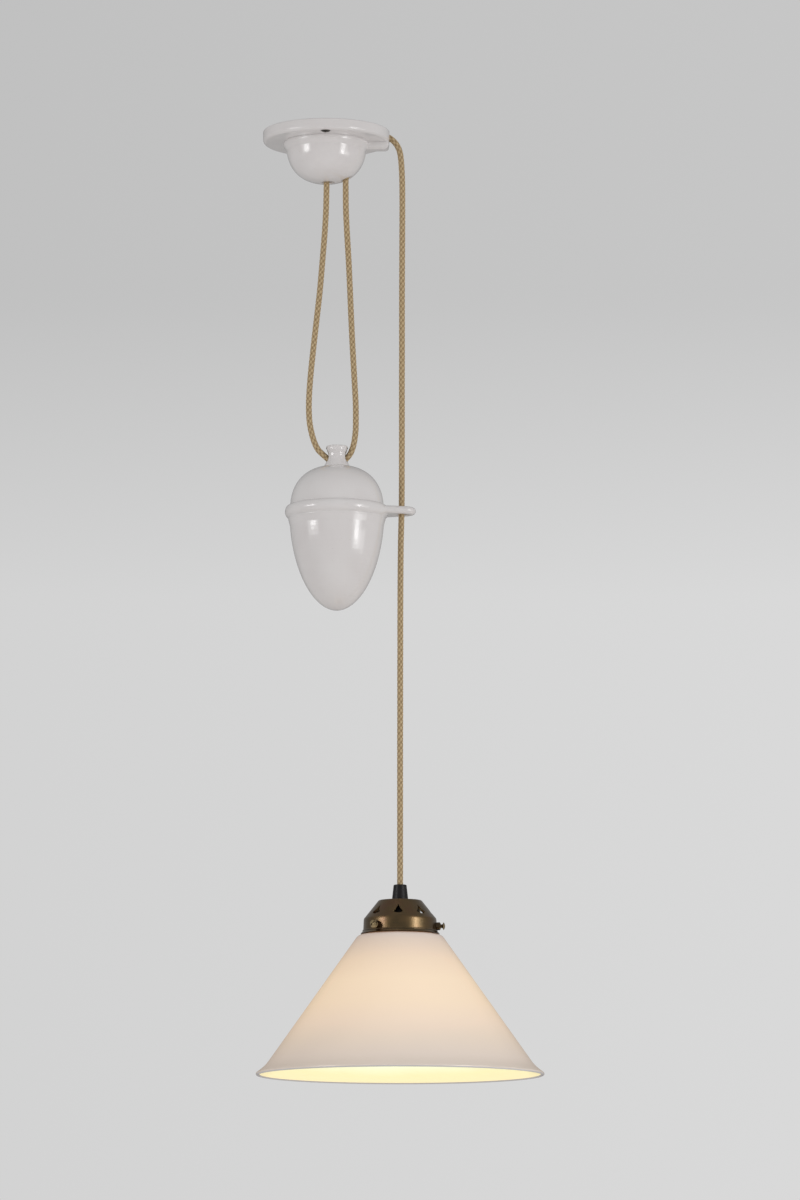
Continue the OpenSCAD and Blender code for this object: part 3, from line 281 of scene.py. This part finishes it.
second = calc(nodes, "FLOORED_MODULO", on_top(count_one, count_other), 2.0)
kind = calc(nodes, "MULTIPLY_ADD", second, 0.25, calc(nodes, "MULTIPLY", one_on_top, 0.5))
yarns = ramp(nodes, kind, (0.0, (0.50, 0.362, 0.208)), (0.2, (0.47, 0.332, 0.188)),
             (0.45, (0.62, 0.485, 0.28)), (0.7, (0.34, 0.240, 0.128)), steps=True)
across = calc(nodes, "FRACT", on_top(one_way, other_way))
plies = calc(nodes, "ABSOLUTE", calc(nodes, "SINE", calc(nodes, "MULTIPLY", across, math.pi * 4)))
fuzz = speckle(nodes, 3.0, 4.0, 0.7, "UV", (14, 3, 1))
tone = calc(nodes, "MULTIPLY_ADD", fuzz, 0.5, calc(nodes, "MULTIPLY_ADD", plies, 0.16, 0.64))
paint(nodes, shader, "Base Color", mixed(nodes, 1.0, yarns, node(
    nodes, "ShaderNodeCombineColor", {0: tone, 1: tone, 2: tone}).outputs[0], "MULTIPLY"))
relief(nodes, shader, calc(nodes, "MULTIPLY_ADD", fuzz, 0.6, plies), 0.00006, 0.8)

for name, route, end_body, cad in (
        ("flex_fixed", fixed_route, "counterweight", "fixed_strand"),
        ("flex_running", running_route, "counterweight", "running_strand"),
        ("flex_drop", drop_route, "lamp", "drop_flex")):
    piece = braided(name, smooth(route, 0.0006), braid)
    line = smooth(route, 0.0035)
    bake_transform(piece)
    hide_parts(cad)

# ---- Held flex ----
# The same flex where the pieces hold it: in the rose's cord clamp, over the rose's pulley and
# out over the lip, round the counterweight's roller, and down through the cord grip.


def bend(centre, radius, start, end, n=24):
    """Points of an arc in the XZ plane, from angle start to end in degrees."""
    return [Vector((centre[0] + radius * math.cos(math.radians(start + (end - start) * i / n)), 0,
                    centre[1] + radius * math.sin(math.radians(start + (end - start) * i / n))))
            for i in range(n + 1)]


def straight(start, end, n):
    start, end = Vector((start[0], 0, start[1])), Vector((end[0], 0, end[1]))
    return [start.lerp(end, i / n) for i in range(n)]


held = (
    ("flex_in_clamp", "rose", "anchored_flex",
     straight((0.0002, -0.0552), (0.0002, -0.02525), 46)
     + bend((-0.0078, -0.02525), 0.008, 0, 90, 20)
     + straight((-0.0084, -0.01725), (-0.01405, -0.01725), 9)),
    ("flex_on_pulley", "rose", "pulley_flex",
     straight((0.0206, -0.0513), (0.0206, -0.0143), 60) + bend((0.0309, -0.0143), 0.0103, 180, 90)
     + straight((0.0315, -0.0040), (0.0605, -0.0040), 47)
     + bend((0.0605, -0.0166), 0.0126, 90, 50, 14)),
    ("flex_on_roller", "counterweight", "roller_flex", bend((0.0118, -0.3493), 0.0096, 225, 315)),
    ("flex_in_grip", "lamp", "holder_flex", straight((0.0785, -0.8045), (0.0785, -0.8306), 44)),
)
for name, body, cad, line in held:
    piece = braided(name, line, braid)
    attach(piece, body)
    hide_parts(cad)

# ---- Glazed porcelain ----
# The rose's body, the two halves of the counterweight and the insert of the lampholder are slip
# cast and glazed white. The glaze lies a little unevenly, greyer and bluer where it is thick.
porcelain, nodes, shader = finish("white_glaze", Coat_Weight=0.5, Coat_Roughness=0.04,
                                  Specular_IOR_Level=0.5)
pooled = speckle(nodes, 22.0, 2.0)
body_colour = ramp(nodes, pooled, (0.32, (0.80, 0.762, 0.755)), (0.68, (0.83, 0.802, 0.795)))
specks = calc(nodes, "GREATER_THAN", speckle(nodes, 420.0, 2.0), 0.755)
paint(nodes, shader, "Base Color", mixed(nodes, specks, body_colour, (0.62, 0.57, 0.52)))
paint(nodes, shader, "Roughness", calc(nodes, "MULTIPLY_ADD", speckle(nodes, 60.0), 0.12, 0.08))
relief(nodes, shader, calc(nodes, "MULTIPLY_ADD", speckle(nodes, 900.0, 1.0), 0.01, pooled), 0.0004,
       rounded=0.0018)


def clad(material, *names):
    """Puts a finish on CAD pieces."""
    for name in names:
        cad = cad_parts[name]
        cad.data.materials.clear()
        cad.data.materials.append(material)


clad(porcelain, "rose_body", "weight_cap", "weight_body", "holder_insert")

# ---- Fixing screws ----
# Two slotted screws with raised countersunk heads, front and back, hold the rose to the ceiling.
screw_pitch, head_d, shank_d, slot_w = 0.118, 0.0098, 0.004, 0.0012
plate_under = -0.012


def turned(name, outline, centre, material, sides=48):
    """A piece turned round a vertical axis from an outline of (radius, height)."""
    bm = bmesh.new()
    rings = []
    for r, z in outline:
        if r == 0:
            rings.append([bm.verts.new((0, 0, z))])
        else:
            rings.append([bm.verts.new((r * math.cos(a), r * math.sin(a), z))
                          for a in (2 * math.pi * j / sides for j in range(sides))])
    for low, high in zip(rings, rings[1:]):
        for j in range(sides):
            corners = [low[j % len(low)], low[(j + 1) % len(low)],
                       high[(j + 1) % len(high)], high[j % len(high)]]
            corners = list(dict.fromkeys(corners))
            if len(corners) > 2:
                bm.faces.new(corners)
    bmesh.ops.recalc_face_normals(bm, faces=bm.faces)
    piece = new_piece(name, bm, material)
    piece.data.transform(Matrix.Translation(centre))
    return piece


def slotted(piece, centre, size, turn=0.0):
    """Saws a slot into a screw's head."""
    bm = bmesh.new()
    bmesh.ops.create_cube(bm, size=1.0)
    saw = new_piece("saw", bm)
    saw.data.transform(Matrix.Translation(centre) @ Matrix.Rotation(turn, 4, "Z")
                       @ Matrix.Diagonal((*size, 1)))
    cut = piece.modifiers.new("slot", "BOOLEAN")
    cut.operation, cut.solver, cut.object = "DIFFERENCE", "EXACT", saw
    seen = piece.evaluated_get(bpy.context.evaluated_depsgraph_get())
    sawn = bpy.data.meshes.new_from_object(seen)
    piece.modifiers.clear()
    piece.data = sawn
    bpy.data.objects.remove(saw)


# Zinc plate: pale and a little blue, clouded where the bath left it uneven.
zinc, nodes, shader = finish("bright_zinc", Metallic=1.0)
cloud = speckle(nodes, 130.0, 3.0)
paint(nodes, shader, "Base Color", ramp(nodes, cloud, (0.3, (0.44, 0.45, 0.47)),
                                        (0.7, (0.63, 0.64, 0.65))))
paint(nodes, shader, "Roughness", calc(nodes, "MULTIPLY_ADD", speckle(nodes, 600.0, 2.0), 0.25, 0.2))
relief(nodes, shader, speckle(nodes, 500.0, 2.0, stretch=(1, 0.08, 1)), 0.00003)

# The fixing screws themselves are dull steel, coloured dark all over.
dulled, nodes, shader = finish("dulled_steel", Metallic=1.0)
stain = speckle(nodes, 420.0, 3.0)
paint(nodes, shader, "Base Color", ramp(nodes, stain, (0.35, (0.060, 0.054, 0.050)),
                                        (0.7, (0.19, 0.175, 0.16))))
paint(nodes, shader, "Roughness", calc(nodes, "MULTIPLY_ADD", stain, 0.3, 0.3))
relief(nodes, shader, stain, 0.00004)

for name, side, turn in (("fixing_screw_front", -1, 1.25), ("fixing_screw_back", 1, 0.4)):
    centre = Vector((0, side * screw_pitch / 2, 0))
    piece = turned(name, [(0, plate_under - 0.0016), (head_d / 5, plate_under - 0.0015),
                          (head_d / 3, plate_under - 0.0011), (head_d / 2, plate_under - 0.0001),
                          (head_d / 2, plate_under + 0.0003),
                          (shank_d / 2, plate_under + 0.0032), (shank_d / 2, -0.0002),
                          (0, -0.0002)], centre, dulled)
    slotted(piece, centre + Vector((0, 0, plate_under - 0.001)), (0.012, slot_w, 0.0024), turn)
    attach(piece, "rose")

# ---- Chassis of the rose ----
# A zinc plated steel plate screwed to two brass inserts in the porcelain. It carries the
# pulley's axle between two ears, the cord clamp, the terminal block and the earth screw.
clad(zinc, "chassis_plate", "chassis_screws", "pulley_axle", "axle_clip", "cord_clamp",
     "clamp_screws", "block_screw", "terminal_screws", "roller_axle", "holder_screws")

# Turned brass: yellow and bright, with the fine rings that the tool leaves.
turned_brass, nodes, shader = finish("turned_brass", Metallic=1.0)
rings = speckle(nodes, 1400.0, 2.0, stretch=(0.06, 1, 0.06))
tarnish = speckle(nodes, 160.0, 4.0)
paint(nodes, shader, "Base Color", ramp(nodes, tarnish, (0.35, (0.47, 0.30, 0.11)),
                                        (0.6, (0.72, 0.52, 0.24))))
paint(nodes, shader, "Roughness", calc(nodes, "MULTIPLY_ADD", tarnish, 0.3, 0.14))
relief(nodes, shader, rings, 0.00004)
clad(turned_brass, "rose_pulley", "neck_roller", "chassis_inserts", "terminal_tubes", "earth_screw",
     "nipple", "holder_thread", "centre_contact", "side_contact")

# The terminal block is moulded in ivory plastic, a little yellowed.
ivory, nodes, shader = finish("ivory_moulding", Roughness=0.36, Subsurface_Weight=0.05)
paint(nodes, shader, "Base Color", ramp(nodes, speckle(nodes, 70.0), (0.3, (0.78, 0.70, 0.50)),
                                        (0.7, (0.84, 0.78, 0.62))))
relief(nodes, shader, speckle(nodes, 2400.0, 1.0), 0.00002)
clad(ivory, "terminal_block")

# Rubber covered cores: brown, green with yellow stripes, and blue.
rubber, nodes, shader = finish("core_rubber", Roughness=0.5)
brown_core, blue_core = (0.085, 0.033, 0.014), (0.03, 0.09, 0.33)
place = place_from(nodes)
y, z = along(nodes, "Y", place), along(nodes, "Z", place)
stripe = calc(nodes, "SINE", calc(nodes, "MULTIPLY", calc(nodes, "ADD", z, y), 2600.0))
earth = mixed(nodes, calc(nodes, "GREATER_THAN", stripe, 0.1), (0.05, 0.20, 0.04), (0.62, 0.50, 0.03))
outer = mixed(nodes, calc(nodes, "GREATER_THAN", y, 0.0), brown_core, blue_core)
middle = calc(nodes, "LESS_THAN", calc(nodes, "ABSOLUTE", y), 0.0016)
paint(nodes, shader, "Base Color", mixed(nodes, middle, outer, earth))
relief(nodes, shader, speckle(nodes, 1500.0, 2.0), 0.00003)
clad(rubber, "anchored_cores")

# ---- Counterweight ----
# Two hollow halves of porcelain cemented together at the ring, with a plug of cast iron in the
# lower one. The ring carries the guide eye, and a steel axle across the neck a brass roller.
plaster, nodes, shader = finish("cement", Roughness=0.92)
grit = speckle(nodes, 900.0, 5.0, 0.7)
paint(nodes, shader, "Base Color", ramp(nodes, grit, (0.3, (0.56, 0.53, 0.49)),
                                        (0.7, (0.74, 0.72, 0.68))))
relief(nodes, shader, grit, 0.0002)
clad(plaster, "joint_cement", "axle_plug")

iron, nodes, shader = finish("cast_iron", Metallic=0.7)
skin = speckle(nodes, 320.0, 6.0, 0.65)
paint(nodes, shader, "Base Color", ramp(nodes, skin, (0.35, (0.045, 0.040, 0.038)),
                                        (0.7, (0.15, 0.12, 0.10))))
paint(nodes, shader, "Roughness", calc(nodes, "MULTIPLY_ADD", skin, 0.4, 0.45))
relief(nodes, shader, skin, 0.0004)
clad(iron, "weight_ballast")

# ---- Gallery ----
# Spun from brass sheet, with pierced vents in the cone and a rolled bead and lip below, and
# browned to an old olive colour under lacquer. The sheet's cut edges and the bead show brighter.
lamp_x, bead_r = 0.0785, 0.0384


def old_brass(name, wear_r):
    """Browned brass, worn brighter from a radius outwards round the lamp's axis."""
    material, nodes, shader = finish(name, Metallic=1.0, Coat_Weight=0.6, Coat_Roughness=0.22)
    place = place_from(nodes, (lamp_x, 0, 0))
    outwards = vector(nodes, "MULTIPLY", place, (1, 1, 0))
    radius = vector(nodes, "LENGTH", outwards)
    spun = node(nodes, "ShaderNodeTexNoise", {
        "Vector": node(nodes, "ShaderNodeCombineXYZ",
                       {0: radius, 1: along(nodes, "Z", place)}).outputs[0],
        "Scale": 1500.0, "Detail": 2.0}).outputs[0]
    patina = speckle(nodes, 38.0, 5.0, 0.6)
    colour = ramp(nodes, patina, (0.34, (0.145, 0.096, 0.040)), (0.5, (0.185, 0.116, 0.047)),
                  (0.64, (0.190, 0.104, 0.048)))
    rub = calc(nodes, "MULTIPLY", between(nodes, radius, wear_r, wear_r + 0.0012, 0.0, 0.3), patina)
    colour = mixed(nodes, rub, colour, (0.34, 0.23, 0.10))
    return material, nodes, shader, colour, patina, spun, outwards


browned, nodes, shader, colour, patina, spun, outwards = old_brass("browned_brass", bead_r)
faces = surface(nodes)
# Painted shade, near black, inside and on what faces down; brighter brass where the vents cut through
# the sheet.
tangent = vector(nodes, "NORMALIZE", vector(nodes, "CROSS_PRODUCT", (0, 0, 1), outwards))
cut = calc(nodes, "GREATER_THAN", calc(nodes, "ABSOLUTE", vector(
    nodes, "DOT_PRODUCT", tangent, faces)), 0.4)
inside = calc(nodes, "LESS_THAN", vector(nodes, "DOT_PRODUCT", outwards, faces), 0.0)
downwards = calc(nodes, "LESS_THAN", along(nodes, "Z", faces), -0.35)
painted_shade = calc(nodes, "MAXIMUM", inside, downwards)
# painted shade: inner and downward faces mixed towards near black
colour = mixed(nodes, painted_shade, colour, (0.012, 0.009, 0.006))
paint(nodes, shader, "Base Color", mixed(nodes, cut, colour, (0.13, 0.09, 0.04)))
paint(nodes, shader, "Roughness", calc(nodes, "MULTIPLY_ADD", spun, 0.10,
                                       calc(nodes, "MULTIPLY_ADD", patina, 0.10, 0.20)))
relief(nodes, shader, spun, 0.00005)
clad(browned, "gallery", "grip_washer")

# Three thumb screws through bosses on the wall hold the glass by its fitter lip.
thumb_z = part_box("gallery")[1][2] - 0.0275      # the screws' axis below the gallery's top
for name, round_lamp, slot_turn in (("screw_bosses", None, None), ("thumb_screw_1", -128, -50),
                                    ("thumb_screw_2", -8, 15), ("thumb_screw_3", 112, 70)):
    handled, nodes, shader, colour, patina, *_ = old_brass("aged_" + name, 0.06)
    colour = mixed(nodes, 0.55, colour, (0.02, 0.013, 0.008))
    if round_lamp is not None:
        # The head's face is rubbed bright by hands, and painted shade lies along its slot, where the
        # face is left dark.
        a, b = math.radians(round_lamp), math.radians(slot_turn)
        place = place_from(nodes, (lamp_x, 0, thumb_z))
        across_slot = (-math.sin(a) * math.cos(b), math.cos(a) * math.cos(b), math.sin(b))
        off_slot = calc(nodes, "ABSOLUTE", vector(nodes, "DOT_PRODUCT", place, across_slot))
        facing = vector(nodes, "DOT_PRODUCT", surface(nodes), (math.cos(a), math.sin(a), 0))
        # worn face, with painted shade kept along the slot
        rubbed_face_and_slot_shade = calc(nodes, "MULTIPLY", between(nodes, facing, 0.60, 0.75),
                      between(nodes, off_slot, 0.00055, 0.00085))
        colour = mixed(nodes, rubbed_face_and_slot_shade, colour, (0.44, 0.33, 0.17))
    paint(nodes, shader, "Base Color", colour)
    paint(nodes, shader, "Roughness", calc(nodes, "MULTIPLY_ADD", patina, 0.25, 0.22))
    relief(nodes, shader, speckle(nodes, 700.0, 2.0), 0.00003)
    clad(handled, name)

# ---- Cord grip ----
# A tapered nipple grip moulded in black phenolic, on the gallery's brass tube, with a nylon
# screw in its back that pinches the flex.
phenolic, nodes, shader = finish("black_phenolic", Specular_IOR_Level=0.35)
mottle = speckle(nodes, 240.0, 4.0, 0.6)
paint(nodes, shader, "Base Color", ramp(nodes, mottle, (0.35, (0.006, 0.005, 0.0055)),
                                        (0.7, (0.013, 0.010, 0.011))))
paint(nodes, shader, "Roughness", calc(nodes, "MULTIPLY_ADD", mottle, 0.16, 0.36))
relief(nodes, shader, mottle, 0.00004)
clad(phenolic, "cord_grip", "holder_cap", "holder_shell", "bulb_contact")

nylon, nodes, shader = finish("natural_nylon", Roughness=0.38, Subsurface_Weight=0.2,
                              Subsurface_Scale=0.002)
paint(nodes, shader, "Base Color", ramp(nodes, speckle(nodes, 300.0), (0.3, (0.70, 0.69, 0.62)),
                                        (0.7, (0.80, 0.79, 0.74))))
clad(nylon, "grip_screw")

# ---- Lampholder ----
# A screw cap holder: phenolic cap and shell round a glazed insert with a brass thread and two
# contacts. The cap hangs on the same tube as the gallery. Brown and blue cores run into it.
paired, nodes, shader = finish("paired_cores", Roughness=0.5)
on_right = calc(nodes, "GREATER_THAN", along(nodes, "X", place_from(nodes)), lamp_x + 0.001)
paint(nodes, shader, "Base Color", mixed(nodes, on_right, brown_core, blue_core))
relief(nodes, shader, speckle(nodes, 1500.0, 2.0), 0.00003)
clad(paired, "holder_cores")

# ---- Bulb ----
# A frosted globe bulb with four light strips on a glass stem, and a nickel plated screw cap.
nickel, nodes, shader = finish("nickel", Metallic=1.0)
paint(nodes, shader, "Base Color", ramp(nodes, speckle(nodes, 200.0), (0.3, (0.58, 0.56, 0.53)),
                                        (0.7, (0.72, 0.70, 0.67))))
paint(nodes, shader, "Roughness", calc(nodes, "MULTIPLY_ADD", speckle(nodes, 900.0, 2.0), 0.2, 0.18))
clad(nickel, "bulb_cap")

globe_low, globe_h = -0.986, 0.09      # between them the globe's glow goes from warm to bright
frosted, nodes, shader = finish("frosted_glass", Roughness=0.55, Base_Color=(0.86, 0.84, 0.78, 1),
                                Emission_Strength=1.0)
height = along(nodes, "Z", place_from(nodes, (lamp_x, 0, globe_low)))
lit = calc(nodes, "MULTIPLY", height, 1 / globe_h)
paint(nodes, shader, "Emission Color", ramp(nodes, lit, (0.0, (1.1, 0.92, 0.62)),
                                            (0.45, (2.2, 1.9, 1.35)), (0.95, (0.9, 0.66, 0.36))))
relief(nodes, shader, speckle(nodes, 2600.0, 2.0), 0.00004)
clad(frosted, "bulb_glass")

stem, nodes, shader = finish("stem_glass", Roughness=0.06, Transmission_Weight=1.0, IOR=1.5,
                             Base_Color=(0.95, 0.98, 0.97, 1))
relief(nodes, shader, speckle(nodes, 120.0, 1.0), 0.0002)
clad(stem, "bulb_stem")

strips, nodes, shader = finish("light_strips", Roughness=0.5, Base_Color=(0.9, 0.6, 0.15, 1),
                               Emission_Strength=4.0)
paint(nodes, shader, "Emission Color", ramp(nodes, speckle(nodes, 900.0, 1.0), (0.4, (1.0, 0.62, 0.22)),
                                            (0.6, (1.0, 0.80, 0.42))))
clad(strips, "bulb_filaments")

# ---- Shade ----
# Opal glass, blown in a mould: 300 mm across and 3 mm thick, with a fire polished rim. A painted
# glow stands in for the bulb's light: peach beside the bulb, greyer to the rim, pale yellow inside.
shade_low, shade_h, rim_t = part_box("shade")[0][2], 0.15, 0.0013
opal, nodes, shader = finish("opal_glass", Roughness=0.2, Coat_Weight=0.3, Coat_Roughness=0.06,
                             Emission_Strength=1.0)
milk = speckle(nodes, 9.0, 2.0)
paint(nodes, shader, "Base Color", ramp(nodes, milk, (0.3, (0.72, 0.71, 0.70)),
                                        (0.7, (0.75, 0.735, 0.72))))
place = place_from(nodes, (lamp_x, 0, shade_low))
height = along(nodes, "Z", place)
share = calc(nodes, "MULTIPLY_ADD", calc(nodes, "SUBTRACT", milk, 0.5), 0.05,
             calc(nodes, "MULTIPLY", height, 1 / shade_h))
# Painted glow, outside and inside: emission by height stands in for the bulb's light through the glass.
painted_glow_outside = ramp(nodes, share, (0.0, (0.14, 0.07, 0.01)), (0.10, (0.19, 0.10, 0.03)),
                    (0.22, (0.26, 0.145, 0.04)), (0.34, (0.35, 0.195, 0.06)),
                    (0.48, (0.41, 0.235, 0.06)), (0.64, (0.43, 0.25, 0.065)),
                    (0.78, (0.37, 0.20, 0.04)), (0.92, (0.22, 0.10, 0.01)), (1.0, (0.08, 0.02, 0.0)))
painted_glow_inside = ramp(nodes, share, (0.0, (0.66, 0.51, 0.16)), (0.06, (0.56, 0.50, 0.15)),
                   (0.13, (0.52, 0.57, 0.33)), (0.5, (0.34, 0.29, 0.16)), (1.0, (0.16, 0.12, 0.06)))
outwards = vector(nodes, "MULTIPLY", place, (1, 1, 0))
inner = calc(nodes, "LESS_THAN", vector(nodes, "DOT_PRODUCT", outwards, surface(nodes)), 0.0)
rim = calc(nodes, "LESS_THAN", height, rim_t)
painted_glow = mixed(nodes, rim, mixed(nodes, inner, painted_glow_outside, painted_glow_inside), (0.02, 0.0, 0.0))
paint(nodes, shader, "Emission Color", painted_glow)
relief(nodes, shader, speckle(nodes, 14.0, 2.0), 0.0006)
clad(opal, "shade")

# ---- Floor, room and lights ----
# A plain pale floor, an even pale room that is darker behind the pendant, and two tall soft
# boxes in front, each a wide dim one with a smaller bright one in it for a soft edge.
floor_z = -1.95
lights_off = 2.2        # from the pendant to the soft boxes
bm = bmesh.new()
bmesh.ops.create_grid(bm, x_segments=1, y_segments=1, size=15)
pale, nodes, shader = finish("pale_floor", Roughness=0.9)
paint(nodes, shader, "Base Color", ramp(nodes, speckle(nodes, 1.5), (0.3, (0.74, 0.74, 0.74)),
                                        (0.7, (0.77, 0.77, 0.77))))
floor = new_piece("floor", bm, pale)
floor.data.transform(Matrix.Translation((0, 0, floor_z)))

room = bpy.data.worlds.new("room")
bpy.context.scene.world = room
room.use_nodes = True
nodes = room.node_tree.nodes
direction = node(nodes, "ShaderNodeSeparateXYZ",
                 {0: node(nodes, "ShaderNodeTexCoord").outputs["Generated"]}).outputs
drift = calc(nodes, "MULTIPLY_ADD", direction[0], 0.45, 1.0)
wall = ramp(nodes, direction[2], (0.148, (0.672, 0.672, 0.672)), (0.2013, (0.549, 0.549, 0.549)))
wall = vector(nodes, "MULTIPLY", wall, node(nodes, "ShaderNodeCombineXYZ", {
    0: drift, 1: drift, 2: drift}).outputs[0])
front = between(nodes, direction[1], -0.3, 0.8, 0.67, 0.57)
above = between(nodes, direction[2], 0.0, 0.9, 1.0, 0.58)
side = calc(nodes, "MULTIPLY_ADD", direction[0], 0.07, 1.0)
ways = node(nodes, "ShaderNodeLightPath").outputs
gloss = calc(nodes, "MULTIPLY_ADD", ways["Is Glossy Ray"], calc(
    nodes, "MULTIPLY_ADD", above, -0.75, 0.20), 1.0)
even = calc(nodes, "MULTIPLY", calc(nodes, "MULTIPLY", front, above),
            calc(nodes, "MULTIPLY", side, gloss))
light = node(nodes, "ShaderNodeCombineColor", {0: even, 1: even, 2: even})
nodes.id_data.links.new(mixed(nodes, ways["Is Camera Ray"], light.outputs[0], wall),
                        nodes["Background"].inputs["Color"])


def soft_box(name, place, width, tall, radiance, aim, colour=(1, 1, 1)):
    """A rectangular light that the camera doesn't see, turned by aim in degrees."""
    lamp = bpy.data.lights.new(name, "AREA")
    lamp.shape, lamp.color = "RECTANGLE", colour
    lamp.size, lamp.size_y = width, tall
    lamp.energy = radiance * math.pi * width * tall
    light = bpy.data.objects.new(name, lamp)
    light.location = place
    light.rotation_euler = [math.radians(a) for a in aim]
    light.visible_camera = False
    bpy.context.scene.collection.objects.link(light)


for name, azimuth, width, tall, middle, radiance in (
        ("left_wide", -60, 1.15, 0.80, -0.28, 1.4), ("left_core", -59, 0.60, 0.54, -0.25, 5.2),
        ("right_wide", 52, 0.95, 1.20, -0.44, 1.2), ("right_core", 51, 0.44, 0.90, -0.42, 4.1),
        ("right_low", 60, 1.25, 0.50, -0.80, 1.6)):
    a = math.radians(azimuth)
    place = (0.03 + lights_off * math.sin(a), -lights_off * math.cos(a), middle)
    soft_box(name, place, width, tall, radiance, (90, 0, azimuth))
soft_box("floor_card", (0, 0, floor_z + 0.01), 5, 5, 0.13, (180, 0, 0), (1, 0.95, 0.91))
